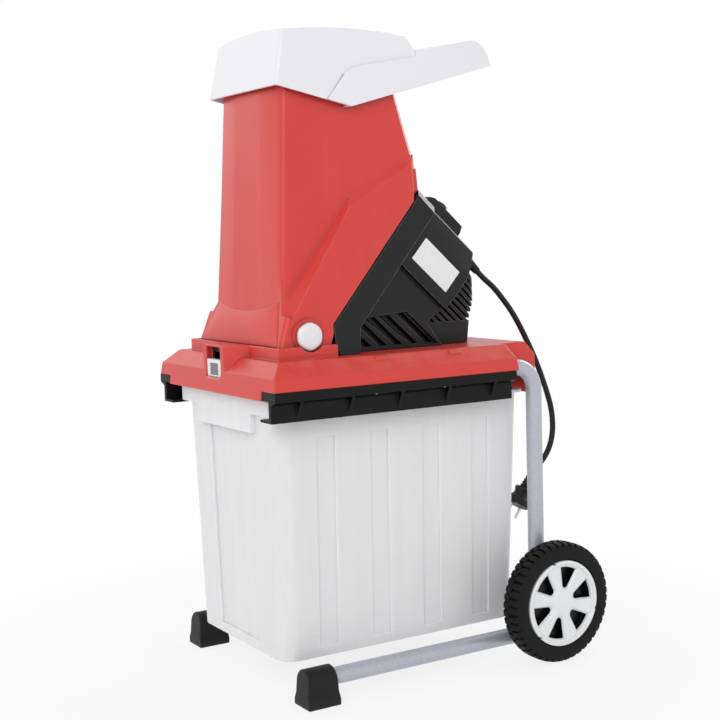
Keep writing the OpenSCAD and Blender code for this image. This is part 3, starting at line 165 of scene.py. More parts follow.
class Board:
    def __init__(self, owner):
        self.owner = owner
        owner.use_nodes = True
        self.tree = owner.node_tree
        self.tree.nodes.clear()

    def add(self, kind, settings, inputs, output=0):
        node = self.tree.nodes.new(kind)
        for key, value in settings.items():
            setattr(node, key, value)
        for key, value in inputs.items():
            if isinstance(value, Wire):
                self.tree.links.new(value.socket, node.inputs[key])
            else:
                node.inputs[key].default_value = value
        return Wire(self, node.outputs[output]) if node.outputs else None

    def place(self):
        return self.add("ShaderNodeTexCoord", {}, {}, "Object")

    def noise(self, place, grain, detail=2.0, roughness=0.5):
        inputs = {"Vector": place, "Scale": 1 / grain, "Detail": detail, "Roughness": roughness}
        return self.add("ShaderNodeTexNoise", {}, inputs)

    def cells(self, place, grain):
        return self.add("ShaderNodeTexVoronoi", {}, {"Vector": place, "Scale": 1 / grain}, "Distance")

    def stretched(self, place, factors):
        return self.add("ShaderNodeVectorMath", {"operation": "MULTIPLY"}, {0: place, 1: factors})

    def axis(self, place, name):
        return self.add("ShaderNodeSeparateXYZ", {}, {0: place}, name)

    def tint(self, factor, first, second):
        return self.add("ShaderNodeMix", {"data_type": "RGBA"}, {0: factor, 6: first, 7: second}, 2)

    def layer(self, colour, mask, look, name):  # its depth and tone are in the look
        return self.tint(mask * look[f"{name}Depth"], colour, look[f"{name}Tone"])

    def span(self, value, low, high):
        inputs = {"Value": value, "From Min": low, "From Max": high, "To Min": 0.0, "To Max": 1.0}
        return self.add("ShaderNodeMapRange", {"interpolation_type": "SMOOTHSTEP"}, inputs)

    def facing(self):
        return self.add("ShaderNodeNewGeometry", {}, {}, "Normal")

    def rounded(self, radius):
        return self.add("ShaderNodeBevel", {"samples": 6}, {"Radius": radius})

    def along(self, normal, way):
        return self.add("ShaderNodeVectorMath", {"operation": "DOT_PRODUCT"}, {0: normal, 1: way}, "Value")

    def edges(self, normal, gain):
        return ((1 - self.along(normal, self.facing())) * gain).clamped()

    def shelter(self, reach):
        return 1 - self.add("ShaderNodeAmbientOcclusion", {"samples": 6}, {"Distance": reach}, "AO")

    def bump(self, height, strength, distance, normal=None):
        inputs = {"Strength": strength, "Distance": distance, "Height": height}
        if normal is not None:
            inputs["Normal"] = normal
        return self.add("ShaderNodeBump", {}, inputs)

    def surface(self, colour, rough, normal, more):
        inputs = {"Base Color": colour, "Roughness": rough, "Normal": normal, **more}
        shader = self.add("ShaderNodeBsdfPrincipled", {}, inputs)
        self.add("ShaderNodeOutputMaterial", {}, {"Surface": shader})
        return self.owner


def newBoard(name):
    return Board(bpy.data.materials.new(name))


def shade(red, green, blue):
    def linear(byte):
        part = byte / 255
        return part / 12.92 if part <= 0.04045 else ((part + 0.055) / 1.055) ** 2.4
    return (linear(red), linear(green), linear(blue), 1.0)


# Finishes. Plastics share the moulded recipe: drifting tone, spark grain, rubbed edges with a painted highlight
# along them, painted shade in the corners

# Each look sets painted shade for corners and recesses (reach, depth, tone), and lighter edges that are partly wear
# and partly painted highlight
plasticLook = {
    "cloud": 0.16, "cloudDepth": 1.0, "grain": 0.0011, "grainDepth": 0.2, "grainRough": 0.06,
    "edge": 0.0018, "rimGain": 6.0, "rub": 0.018, "wearAndHighlightShare": 0.4, "polish": 0.1,
    "rough": 0.38, "roughSpread": 0.08, "dust": 0.1, "dustSize": 0.03, "dustTone": shade(206, 202, 196),
    "paintedHighlightFloor": 0.4, "shelterReach": 0.012, "paintedShadeDepth": 0.4, "paintedShadeTone": shade(150, 148, 146),
}


def moulded(name, look):
    board = newBoard(name)
    place = board.place()
    cloud = board.noise(place, look["cloud"], 3.0)
    grain = board.noise(place, look["grain"], 3.0, 0.62)
    normal = board.rounded(look["edge"])
    rim = board.edges(normal, look["rimGain"])
    rub = board.span(board.noise(place, look["rub"], 4.0, 0.65), 0.4, 0.7)
    upward = board.span(board.axis(board.facing(), "Z"), 0.4, 0.95)
    dust = upward * board.span(board.noise(place, look["dustSize"], 5.0, 0.6), 0.3, 0.75) * look["dust"]
    shelter = board.shelter(look["shelterReach"])
    exposed = 1 - board.span(shelter, 0.06, 0.3)  # inner corners get neither rubbing nor painted highlight
    # Lighter edges: a painted highlight along every convex edge (the floor share), brighter in noisy rubbed patches
    # where it is real wear
    wearAndHighlight = rim * exposed * (look["paintedHighlightFloor"] + rub * (1 - look["paintedHighlightFloor"])) * look["wearAndHighlightShare"]
    colour = board.tint(cloud * look["cloudDepth"], look["deep"], look["main"])
    # Painted shade: where the occlusion measure finds corners, creases, recesses and gaps between parts, the colour
    # is darkened towards the look's shade tone
    colour = board.tint(shelter * look["paintedShadeDepth"] * (0.6 + cloud * 0.8), colour, look["paintedShadeTone"])
    colour = board.tint(wearAndHighlight, colour, look["wearAndHighlight"])
    colour = board.tint(dust, colour, look["dustTone"])
    rough = look["rough"] + (cloud - 0.5) * look["roughSpread"] + (grain - 0.5) * look["grainRough"]
    rough = rough - wearAndHighlight * look["polish"] + dust * 0.3
    bumped = board.bump(grain, look["grainDepth"], look["grain"] * 0.25, normal)
    return board, place, colour, rough, bumped


redLook = dict(
    plasticLook, main=shade(215, 60, 51), deep=shade(208, 54, 46), wearAndHighlight=shade(240, 142, 130),
    edge=0.0022, wearAndHighlightShare=0.6, rough=0.36, paintedShadeDepth=0.75, paintedShadeTone=shade(128, 24, 20),
    flow=0.03, flowDepth=0.35, flowTone=shade(216, 70, 60),
)


def redPlastic():
    board, place, colour, rough, bumped = moulded("redPlastic", redLook)
    flow = board.noise(board.stretched(place, (1, 1, 0.14)), redLook["flow"], 3.0)  # flow marks run up the walls
    colour = board.layer(colour, board.span(flow, 0.5, 0.75), redLook, "flow")
    return board.surface(colour, rough, bumped, {})


hoodLook = dict(
    plasticLook, main=shade(236, 235, 240), deep=shade(231, 230, 237), wearAndHighlight=shade(246, 246, 248),
    cloud=0.2, grain=0.001, grainDepth=0.14, edge=0.0008, rough=0.42, roughSpread=0.06, dust=0.16,
    dustTone=shade(214, 212, 208), paintedShadeDepth=0.3, speck=0.0132, speckTone=shade(196, 194, 196), speckDepth=0.25,
)


def hoodPlastic():
    board, place, colour, rough, bumped = moulded("hoodPlastic", hoodLook)
    speck = 1 - board.span(board.cells(place, hoodLook["speck"]), 0.03, 0.09)  # a few grey specks
    colour = board.layer(colour, speck, hoodLook, "speck")
    return board.surface(colour, rough, bumped, {})


blackLook = dict(
    plasticLook, main=shade(17, 17, 18), deep=shade(12, 12, 13), wearAndHighlight=shade(138, 139, 144),
    cloud=0.12, grain=0.0013, grainDepth=0.3, edge=0.0018, wearAndHighlightShare=0.95, paintedHighlightFloor=0.55, rough=0.36,
    dust=0.04, dustTone=shade(120, 117, 112), specular=0.33,
    shelterReach=0.02, paintedShadeDepth=0.9, paintedShadeTone=shade(3, 3, 3),
)


railLook = dict(
    plasticLook, main=shade(12, 12, 13), deep=shade(8, 8, 9), wearAndHighlight=shade(78, 78, 82),
    cloud=0.09, grain=0.0015, grainDepth=0.3, edge=0.0014, wearAndHighlightShare=0.4, rough=0.46,
    dust=0.04, dustTone=shade(120, 117, 112), specular=0.2, paintedShadeDepth=0.9, paintedShadeTone=shade(3, 3, 3),
    streak=0.004, streakDepth=0.25, streakTone=shade(34, 34, 37),
)


def railPlastic():
    board, place, colour, rough, bumped = moulded("railPlastic", railLook)
    streak = board.noise(board.stretched(place, (0.05, 1, 1)), railLook["streak"], 3.0)  # from the sliding box
    colour = board.layer(colour, board.span(streak, 0.55, 0.8), railLook, "streak")
    return board.surface(colour, rough, bumped, {"Specular IOR Level": railLook["specular"]})


silverLook = dict(
    plasticLook, main=shade(234, 236, 237), deep=shade(227, 229, 231), wearAndHighlight=shade(246, 246, 247),
    cloud=0.07, grain=0.0006, grainDepth=0.08, edge=0.0014, wearAndHighlightShare=0.3, rough=0.34, roughSpread=0.06,
    dust=0.06, flake=0.0009, flakeDepth=0.3, flakeTone=shade(240, 241, 243), metallic=0.12,
    shelterReach=0.005, paintedShadeDepth=0.5, paintedShadeTone=shade(138, 140, 144),
)


def silverPlastic():
    board, place, colour, rough, bumped = moulded("silverPlastic", silverLook)
    flake = board.span(board.noise(place, silverLook["flake"], 1.0), 0.5, 0.68)
    colour = board.layer(colour, flake, silverLook, "flake")
    return board.surface(colour, rough - flake * 0.06, bumped, {"Metallic": silverLook["metallic"]})


milkyLook = dict(
    plasticLook, main=shade(241, 241, 244), deep=shade(236, 236, 240), wearAndHighlight=shade(248, 248, 250),
    cloud=0.14, grain=0.0016, grainDepth=0.08, edge=0.001, wearAndHighlightShare=0.4, rough=0.36, roughSpread=0.1,
    dust=0.05, paintedShadeDepth=0.2, streak=0.026, streakDepth=0.45, streakTone=shade(246, 246, 248),
    scuff=0.006, scuffDepth=0.2, scuffTone=shade(212, 212, 216), milk=0.6, milkDepth=0.006,
)


def milkyPlastic():
    look = milkyLook
    board, place, colour, rough, bumped = moulded("milkyPlastic", look)
    streak = board.span(board.noise(board.stretched(place, (1, 1, 0.07)), look["streak"], 3.0), 0.42, 0.7)
    colour = board.layer(colour, streak, look, "streak")  # cloudy bands down the walls
    low = 1 - board.span(board.axis(place, "Z"), 0.06, 0.2)
    scuff = board.span(board.noise(board.stretched(place, (0.15, 0.15, 2)), look["scuff"], 4.0, 0.7), 0.56, 0.72)
    colour = board.layer(colour, scuff * low, look, "scuff")  # rubbed near the floor
    return board.surface(colour, rough + scuff * low * 0.2, bumped,
                         {"Subsurface Weight": look["milk"], "Subsurface Scale": look["milkDepth"],
                          "Subsurface Radius": (1.0, 1.0, 1.1), "IOR": 1.49})


tyreLook = dict(
    plasticLook, main=shade(21, 21, 22), deep=shade(15, 15, 16), wearAndHighlight=shade(92, 90, 88),
    cloud=0.05, grain=0.0016, grainDepth=0.5, grainRough=0.12, edge=0.0009, rimGain=4.0, wearAndHighlightShare=0.6,
    shelterReach=0.006, paintedShadeDepth=1.0, paintedShadeTone=shade(2, 2, 2),
    rough=0.66, roughSpread=0.14, dust=0.08, dustTone=shade(120, 112, 102), specular=0.2,
)


footLook = dict(
    plasticLook, main=shade(18, 18, 19), deep=shade(13, 13, 14), wearAndHighlight=shade(66, 65, 64),
    cloud=0.03, grain=0.0012, grainDepth=0.35, edge=0.002, wearAndHighlightShare=0.5, rough=0.52, roughSpread=0.12,
    dust=0.06, dustTone=shade(120, 114, 106), specular=0.3, soil=0.006, soilDepth=0.16,
    soilTone=shade(96, 88, 78), paintedShadeDepth=0.8, paintedShadeTone=shade(4, 4, 4),
)


def footRubber():
    board, place, colour, rough, bumped = moulded("footRubber", footLook)
    low = 1 - board.span(board.axis(place, "Z"), 0.0, 0.016)
    soil = low * board.noise(place, footLook["soil"], 4.0, 0.65)  # where it stands
    colour = board.layer(colour, soil, footLook, "soil")
    return board.surface(colour, rough, bumped, {"Specular IOR Level": footLook["specular"]})


tubeLook = {
    "main": shade(184, 187, 197), "deep": shade(172, 175, 186), "flakeTone": shade(222, 223, 230),
    "flake": 0.0011, "flakeDepth": 0.4, "peel": 0.0042, "peelDepth": 0.1, "cloud": 0.09, "metallic": 0.35,
    "rough": 0.36, "chip": 0.011, "chipTone": shade(128, 128, 132), "chipDepth": 0.5,
}


def tubePaint():
    look = tubeLook
    board = newBoard("tubePaint")
    place = board.place()
    cloud = board.noise(place, look["cloud"], 3.0)
    flake = board.span(board.noise(place, look["flake"], 1.0), 0.48, 0.66)
    peel = board.noise(place, look["peel"], 2.0)
    chip = board.span(board.noise(place, look["chip"], 5.0, 0.7), 0.7, 0.76)  # small chips in the paint
    colour = board.tint(cloud, look["deep"], look["main"])
    colour = board.layer(colour, flake, look, "flake")
    colour = board.layer(colour, chip, look, "chip")
    rough = look["rough"] + (peel - 0.5) * 0.1 - flake * 0.08 + chip * 0.15
    bumped = board.bump(peel - chip * 0.6, look["peelDepth"], 0.0008)
    return board.surface(colour, rough, bumped, {"Metallic": look["metallic"]})


def brushed(name, look):
    board = newBoard(name)
    place = board.place()
    lines = board.noise(board.stretched(place, look["stretch"]), look["line"], 4.0, 0.6)
    cloud = board.noise(place, look["cloud"], 3.0)
    stain = board.span(board.noise(place, look["stain"], 5.0, 0.65), 0.6, 0.78)
    colour = board.tint(lines, look["deep"], look["main"])
    colour = board.layer(colour, stain, look, "stain")
    rough = look["rough"] + (lines - 0.5) * look["lineRough"] + (cloud - 0.5) * 0.1 + stain * 0.15
    bumped = board.bump(lines, look["lineDepth"], look["line"] * 0.2, board.rounded(look["edge"]))
    return board.surface(colour, rough, bumped, {"Metallic": look["metallic"]})


steelLook = {
    "main": shade(206, 207, 210), "deep": shade(178, 179, 183), "stainTone": shade(150, 146, 140), "stainDepth": 0.3,
    "stretch": (1, 0.04, 1), "line": 0.0014, "cloud": 0.03, "stain": 0.016, "rough": 0.28, "lineRough": 0.18,
    "lineDepth": 0.12, "edge": 0.0006, "metallic": 1.0,
}
castLook = dict(
    steelLook, main=shade(190, 191, 193), deep=shade(158, 159, 162), stainTone=shade(126, 124, 121), stainDepth=0.35,
    stretch=(1, 1, 1), line=0.0021, cloud=0.04, stain=0.02, rough=0.48, lineRough=0.2, lineDepth=0.5, edge=0.0012,
    metallic=0.9,
)
insertLook = dict(
    steelLook, main=shade(150, 147, 146), deep=shade(122, 119, 118), stainTone=shade(96, 92, 90),
    stretch=(1, 1, 0.05), rough=0.4,
)
pinLook = dict(
    steelLook, main=shade(212, 208, 200), deep=shade(190, 186, 178), stainTone=shade(158, 146, 122), stainDepth=0.35,
    stretch=(1, 0.1, 1), line=0.0008, cloud=0.012, stain=0.007, rough=0.24, lineRough=0.14, lineDepth=0.1,
)

labelLook = dict(
    plasticLook, main=shade(235, 236, 237), deep=shade(229, 230, 232), wearAndHighlight=shade(244, 244, 245),
    cloud=0.03, grain=0.0007, grainDepth=0.06, edge=0.0006, wearAndHighlightShare=0.3, rough=0.36, roughSpread=0.05, dust=0.05,
    weave=0.0016, weaveDepth=0.12, weaveTone=shade(214, 215, 219),
)


def labelFilm():
    board, place, colour, rough, bumped = moulded("labelFilm", labelLook)
    weave = board.span(board.noise(board.stretched(place, (1, 1, 0.3)), labelLook["weave"], 2.0), 0.45, 0.7)
    colour = board.layer(colour, weave, labelLook, "weave")
    return board.surface(colour, rough + weave * 0.05, bumped, {"Coat Weight": 0.25, "Coat Roughness": 0.2})


buttonLook = dict(plasticLook, cloud=0.012, grain=0.0007, grainDepth=0.08, edge=0.001, rough=0.3, dust=0.04)
greenLook = dict(buttonLook, main=shade(34, 142, 66), deep=shade(26, 126, 56), wearAndHighlight=shade(112, 186, 126))
stopLook = dict(buttonLook, main=shade(196, 32, 28), deep=shade(178, 24, 22), wearAndHighlight=shade(224, 116, 106))
# Only the face that looks along the press is coloured
buttonFace = {"way": (0.669, 0, 0.743), "from": 0.86, "to": 0.96, "skirt": shade(26, 27, 28)}


def buttonPlastic(name, look):
    board, place, colour, rough, bumped = moulded(name, look)
    top = board.span(board.along(board.facing(), buttonFace["way"]), buttonFace["from"], buttonFace["to"])
    colour = board.tint(top, buttonFace["skirt"], colour)
    return board.surface(colour, rough, bumped, {"Coat Weight": 0.15, "Coat Roughness": 0.15})


leadLook = dict(
    plasticLook, main=shade(22, 22, 23), deep=shade(16, 16, 17), wearAndHighlight=shade(70, 70, 72),
    cloud=0.03, grain=0.0009, grainDepth=0.2, edge=0.001, wearAndHighlightShare=0.35, rough=0.44, roughSpread=0.12,
    dust=0.05, dustTone=shade(120, 116, 110), specular=0.32,
    shelterReach=0.004, paintedShadeDepth=0.8, paintedShadeTone=shade(4, 4, 4),
)


def plainFinish(name, look):
    board, place, colour, rough, bumped = moulded(name, look)
    return board.surface(colour, rough, bumped, {"Specular IOR Level": look["specular"]})


finishes = {
    "red_plastic": redPlastic(), "hood_plastic": hoodPlastic(),
    "black_plastic": plainFinish("blackPlastic", blackLook), "rail_plastic": railPlastic(),
    "silver_plastic": silverPlastic(), "milky_plastic": milkyPlastic(),
    "tyre": plainFinish("tyreRubber", tyreLook), "foot_rubber": footRubber(), "tube_paint": tubePaint(),
    "bright_steel": brushed("brightSteel", steelLook), "cast_aluminium": brushed("castAluminium", castLook),
    "pin_metal": brushed("pinMetal", pinLook), "label_white": labelFilm(),
    "button_green": buttonPlastic("startGreen", greenLook), "button_red": buttonPlastic("stopRed", stopLook),
    "cord_rubber": plainFinish("leadRubber", leadLook),
}
slotOf = {row["node"]: row["material_slot"] for row in frame["record"]["subparts"]}
for nodeName, piece in cadNodes.items():
    piece.data.materials.clear()
    piece.data.materials.append(finishes[slotOf[nodeName]])
mainsLead.data.materials.append(finishes["cord_rubber"])
print("finishes set:", len(finishes))


# New pieces: from mesh code to a dressed object

def turnAngles(count):
    return [2 * math.pi * k / count for k in range(count)]


def skin(solid, rings, closed=True):  # quads between neighbouring rings and a face over each end
    for lower, upper in zip(rings, rings[1:]):
        for k in range(len(lower)):
            after = (k + 1) % len(lower)
            solid.faces.new((lower[k], lower[after], upper[after], upper[k]))
    if closed:
        solid.faces.new(rings[0][::-1])
        solid.faces.new(rings[-1])


allSoft = 180  # degrees: no edge is hard


def makePiece(solid, name, sharp=None, turnOut=True):  # edges over sharp degrees stay hard
    if turnOut:
        bmesh.ops.recalc_face_normals(solid, faces=solid.faces[:])
    if sharp is not None:
        for edge in solid.edges:
            edge.smooth = edge.is_manifold and edge.calc_face_angle(0) < math.radians(sharp)
        for face in solid.faces:
            face.smooth = True
    mesh = bpy.data.meshes.new(name)
    solid.to_mesh(mesh)
    solid.free()
    piece = bpy.data.objects.new(name, mesh)
    scene.collection.objects.link(piece)
    return piece


def evenShading(piece, weight, keepSharp):
    even = piece.modifiers.new("evenShading", "WEIGHTED_NORMAL")
    even.keep_sharp = keepSharp
    even.weight = weight


def dress(piece, body, slot, node=None, finish=None):
    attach(piece, body)
    if node:
        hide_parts(node)
    piece.data.materials.append(finishes[slot] if finish is None else finish)
    return piece


# Softened edges on the carried-over solids, in millimetres: a moulding has no sharp corner

edgeRounding = {
    "base_tray": 1.4, "box_latch": 0.8,
    "foot_left": 1.8, "foot_right": 1.8, "label_plate": 0.35, "wheel_left": 0.8, "wheel_right": 0.8,
}
softening = {"join": 2e-6, "flat": 0.4, "sharp": 28, "steps": 3, "weight": 80}  # metres and degrees


def softenEdges(piece, radius):
    join = piece.modifiers.new("joinFaces", "WELD")
    join.merge_threshold = softening["join"]
    flat = piece.modifiers.new("joinFlats", "DECIMATE")
    flat.decimate_type = "DISSOLVE"
    flat.angle_limit = math.radians(softening["flat"])
    soft = piece.modifiers.new("softEdges", "BEVEL")
    soft.width = radius / 1000
    soft.segments = softening["steps"]
    soft.limit_method = "ANGLE"
    soft.angle_limit = math.radians(softening["sharp"])
    soft.use_clamp_overlap = False
    evenShading(piece, softening["weight"], False)


for nodeName, radius in edgeRounding.items():
    softenEdges(cadNodes[nodeName], radius)
print("edges softened:", len(edgeRounding))


# Mouldings with broad corner radii or chamfers: the same shells with chosen edges cut back

shellSettings = {"join": 2e-6, "flat": 0.05, "sharp": 27, "weight": 80, "sideways": 0.85}  # metres and degrees


def meets(corner, front, side, middle):  # a face that the corner picks, and an outer side
    return corner["pick"](front, middle) and side.y * middle.y > 0 and abs(side.y) > shellSettings["sideways"]


def roundedShell(name, node, body, corner, lift=None):
    shell = bmesh.new()
    shell.from_mesh(cadNodes[node].data)
    if lift:
        for vert in shell.verts:
            if abs(vert.co.z - lift["from"]) < lift["within"] and abs(vert.co.y) > lift["outside"]:
                vert.co.z = lift["to"]
    bmesh.ops.remove_doubles(shell, verts=shell.verts[:], dist=shellSettings["join"])
    bmesh.ops.dissolve_limit(shell, angle_limit=math.radians(shellSettings["flat"]), verts=shell.verts[:],
                             edges=shell.edges[:])
    if corner:
        chosen = []
        for edge in shell.edges:
            if not edge.is_manifold or edge.calc_face_angle(0) < math.radians(corner["sharper"]):
                continue
            one, two = (face.normal for face in edge.link_faces)
            middle = (edge.verts[0].co + edge.verts[1].co) / 2
            if meets(corner, one, two, middle) or meets(corner, two, one, middle):
                chosen.append(edge)
        bmesh.ops.bevel(shell, geom=chosen, offset=corner["radius"], offset_type="OFFSET",
                        segments=corner["steps"], profile=0.5, affect="EDGES", clamp_overlap=False)
        print(name, "corner edges:", len(chosen))
    piece = makePiece(shell, name, shellSettings["sharp"], turnOut=False)
    evenShading(piece, shellSettings["weight"], True)
    return dress(piece, body, slotOf[node], node)


capLow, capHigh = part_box("pivot_caps")
hingeMiddle = (capLow + capHigh) / 2
hingeReach = 0.034  # the hinge ears keep their own edges
slant = math.radians(48)
slantUp = Vector((math.cos(slant), 0, math.sin(slant)))  # along the motor's flange
slantOut = Vector((slantUp.z, 0, -slantUp.x))  # along the motor's shaft, outwards


def nearHinge(middle):
    return math.hypot(middle.x - hingeMiddle.x, middle.z - hingeMiddle.z) < hingeReach


shells = [  # name, node, body and the edges to cut back
    ("hopperShell", "hopper", "hopper_unit", {  # front corners of chute and skirt
        "radius": 0.007, "steps": 6, "sharper": 40,
        "pick": lambda front, middle: front.x < -0.75 and middle.z > 0.5 and not nearHinge(middle)}),
    ("hoodShell", "hood", "hopper_unit", {  # front corners
        "radius": 0.005, "steps": 5, "sharper": 30, "pick": lambda front, middle: front.x < -0.6}),
    ("coverShell", "motor_cover", "stand", {  # lit chamfer along the top
        "radius": 0.0034, "steps": 1, "sharper": 25, "pick": lambda front, middle: front.dot(slantUp) > 0.9}),
    ("flangeShell", "motor_flange", "stand", {  # lit chamfer beside the chamber
        "radius": 0.0022, "steps": 1, "sharper": 40, "pick": lambda front, middle: front.dot(slantOut) < -0.9}),
]
railLift = {"from": 0.419, "within": 0.0003, "outside": 0.1785, "to": 0.4245}  # a lower lip
railEdge = 1.0  # millimetres

for name, node, body, corner in shells:
    roundedShell(name, node, body, corner)
for side in ("left", "right"):
    softenEdges(roundedShell(f"railShell{side.capitalize()}", f"rail_{side}", "stand", None, railLift), railEdge)
print("shells rounded")


# Strain relief and plug: turned forms with ribs

def turned(name, profile, start, heading, sides=40, squash=None):
    up = Vector((0, 1, 0))
    heading = Vector(heading).normalized()
    side = heading.cross(up).normalized()
    solid = bmesh.new()
    rings = []
    for radius, along in profile:
        middle = Vector(start) + heading * along
        wide, deep = squash(radius, along) if squash else (radius, radius)
        rings.append([solid.verts.new(middle + side * (wide * math.cos(angle)) + up * (deep * math.sin(angle)))
                      for angle in turnAngles(sides)])
    skin(solid, rings)
    piece = makePiece(solid, name)
    piece.data.shade_smooth()
    evenShading(piece, 60, False)
    return piece


def ribbed(settings, start, length, low, high):  # radius and distance along a row of ribs
    pitch = length / settings["ribs"]
    points = []
    for k in range(settings["ribs"]):
        crest = low + (high - low) * (k + 0.5) / settings["ribs"]
        floor, soft = crest - settings["ribDepth"], crest - settings["ribSoft"]
        radii = (floor, soft, crest, crest, soft, floor)
        points += [(radius, start + (k + share) * pitch) for radius, share in zip(radii, settings["ribShares"])]
    return points


reliefSettings = {
    "base": 0.036,  # metres back from the lead's first point
    "collarRadius": 0.0089, "collarLength": 0.011, "edge": 0.0012, "edgeSoft": 0.0003,
    "neckRadius": 0.0078, "tipRadius": 0.0058, "tipStep": 0.0006, "mouth": 0.0047,
    "ribs": 6, "ribDepth": 0.0011, "ribSoft": 0.0002, "ribShares": (0, 0.12, 0.25, 0.5, 0.63, 0.75), "ribGap": 0.001,
}


def makeStrainRelief(settings, route, plane):
    first, second = (Vector((x, plane, z)) for x, z in route[:2])
    heading = (second - first).normalized()
    collar, length = settings["collarRadius"], settings["collarLength"]
    edge, soft, gap, base = (settings[key] for key in ("edge", "edgeSoft", "ribGap", "base"))
    profile = [(collar - edge, 0.0), (collar - soft, soft), (collar, edge), (collar, length - edge),
               (collar - soft, length - soft), (collar - edge, length)]
    profile += ribbed(settings, length + gap, base - length - 2 * gap, settings["neckRadius"], settings["tipRadius"])
    profile += [(settings["tipRadius"] - settings["tipStep"], base - gap), (settings["mouth"], base)]
    dress(turned("strainRelief", profile, first - heading * base, heading), "stand", "cord_rubber", "cord_gland")


plugSettings = {
    "tilt": 34,  # degrees from straight down
    "relief": 0.026, "leadEnd": 0.0054, "leadStep": 0.0006, "neck": 0.0084,
    "ribs": 5, "ribDepth": 0.0012, "ribSoft": 0.0002, "ribShares": (0.05, 0.15, 0.28, 0.58, 0.7, 0.8),
    "body": [  # radius and distance from the relief's end, metres
        (0.0086, 0.0), (0.0120, 0.0006), (0.0140, 0.0014), (0.0148, 0.0026), (0.0150, 0.0046), (0.0146, 0.0064),
        (0.0138, 0.0084), (0.0134, 0.0106), (0.0137, 0.0128), (0.0148, 0.0150), (0.0163, 0.0170), (0.0177, 0.0188),
        (0.0186, 0.0206), (0.0189, 0.0226), (0.0190, 0.0250), (0.0190, 0.0280), (0.0187, 0.0293), (0.0178, 0.0300),
    ],
    "grip": (0.002, 0.021), "flat": 0.8,  # the finger grips are this much narrower across
    "sides": 48,
}


def makePlug(settings, route, plane):
    start = Vector((route[-1][0], plane, route[-1][1]))
    tilt = math.radians(settings["tilt"])
    heading = Vector((-math.sin(tilt), 0, -math.cos(tilt)))
    profile = [(settings["leadEnd"] - settings["leadStep"], 0.0)]
    profile += ribbed(settings, 0.0, settings["relief"], settings["leadEnd"], settings["neck"])
    profile += [(radius, settings["relief"] + along) for radius, along in settings["body"]]
    gripFrom, gripTo = (settings["relief"] + along for along in settings["grip"])

    def squash(radius, along):
        if gripFrom < along < gripTo:
            bend = math.sin(math.pi * (along - gripFrom) / (gripTo - gripFrom))
            return radius, radius * (1 - (1 - settings["flat"]) * bend)
        return radius, radius

    plug = turned("mainsPlug", profile, start, heading, settings["sides"], squash)
    return dress(plug, "stand", "cord_rubber", "plug_body")


makeStrainRelief(reliefSettings, leadSettings["route"], leadSettings["plane"])
mainsPlug = makePlug(plugSettings, leadSettings["route"], leadSettings["plane"])
print("lead fittings made")


# The skirt's rounded front, which ends above in a shallow curve across the chute

bellySettings = {  # millimetres
    "low": 490.6, "lowX": -225.9, "crest": 539.0, "rise": 14.0, "risePower": 2.2,
    "slope": 0.3533, "slopeFrom": (-226.0, 490.0),  # the solid's sloped skirt: x and z
    "lean": 0.05858, "leanFrom": (-214.2, 523.4), "bow": 0.000845, "flat": 34.5,  # and its bowed chute
    "halfLow": 131.5, "taper": 0.495, "halfTop": 102.5, "margin": 7.0,
    "curve": 1.7, "fade": 5, "proud": 0.15, "inside": 1.5, "columns": 56, "rows": 22,
}


def makeSkirtBelly(settings):
    rows, columns, low = settings["rows"], settings["columns"], settings["low"]
    belly = bmesh.new()

    def wall(y, z):  # the solid's front, chute or skirt, whichever is further out
        bowed = settings["bow"] * max(0.0, y * y - settings["flat"] ** 2)
        chute = settings["leanFrom"][0] + settings["lean"] * (z - settings["leanFrom"][1]) + bowed
        return min(chute, settings["slopeFrom"][0] + settings["slope"] * (z - settings["slopeFrom"][1]))

    def half(z):
        return max(settings["halfTop"], settings["halfLow"] - settings["taper"] * (z - low)) - settings["margin"]

    def spot(x, y, z):
        return belly.verts.new((x / 1000, y / 1000, z / 1000))

    def rim(grid):
        return ([line[0] for line in grid[:-1]] + grid[-1][:-1] + [line[-1] for line in grid[:0:-1]]
                + grid[0][:0:-1])

    fronts, backs = [], []
    for row in range(rows + 1):
        up = row / rows
        fronts.append([])
        backs.append([])
        for column in range(columns + 1):
            side = 2 * column / columns - 1
            crest = settings["crest"] + settings["rise"] * abs(side) ** settings["risePower"]
            z = low + (crest - low) * up
            y = side * half(z)
            plain, top = wall(y, z), wall(side * half(crest), crest)
            swell = top + (settings["lowX"] - top) * (1 - up ** settings["curve"])
            x = plain + min(0.0, swell - plain) * (1 - abs(side) ** settings["fade"]) - settings["proud"]
            fronts[row].append(spot(x, y, z))
            backs[row].append(spot(plain + settings["inside"], y, z))
    for grid in (fronts, backs):
        for below, above in zip(grid, grid[1:]):
            for k in range(columns):
                belly.faces.new((below[k], below[k + 1], above[k + 1], above[k]))
    skin(belly, [rim(fronts), rim(backs)], False)
    dress(makePiece(belly, "skirtBelly", allSoft), "hopper_unit", slotOf["hopper"])


# Small hardware: hinge caps, a black lining behind the latch as painted shade, the latch insert, flange facets, pan
# screws under the rails' lips

capSettings = {
    "radius": 0.0194, "lobes": 6, "lobe": 0.016, "turns": 60,
    "profile": ((1.0, 0.0), (1.0, 0.46), (0.985, 0.62), (0.95, 0.75), (0.88, 0.87), (0.76, 0.95),
                (0.58, 0.985)),  # share of radius, share of height
}


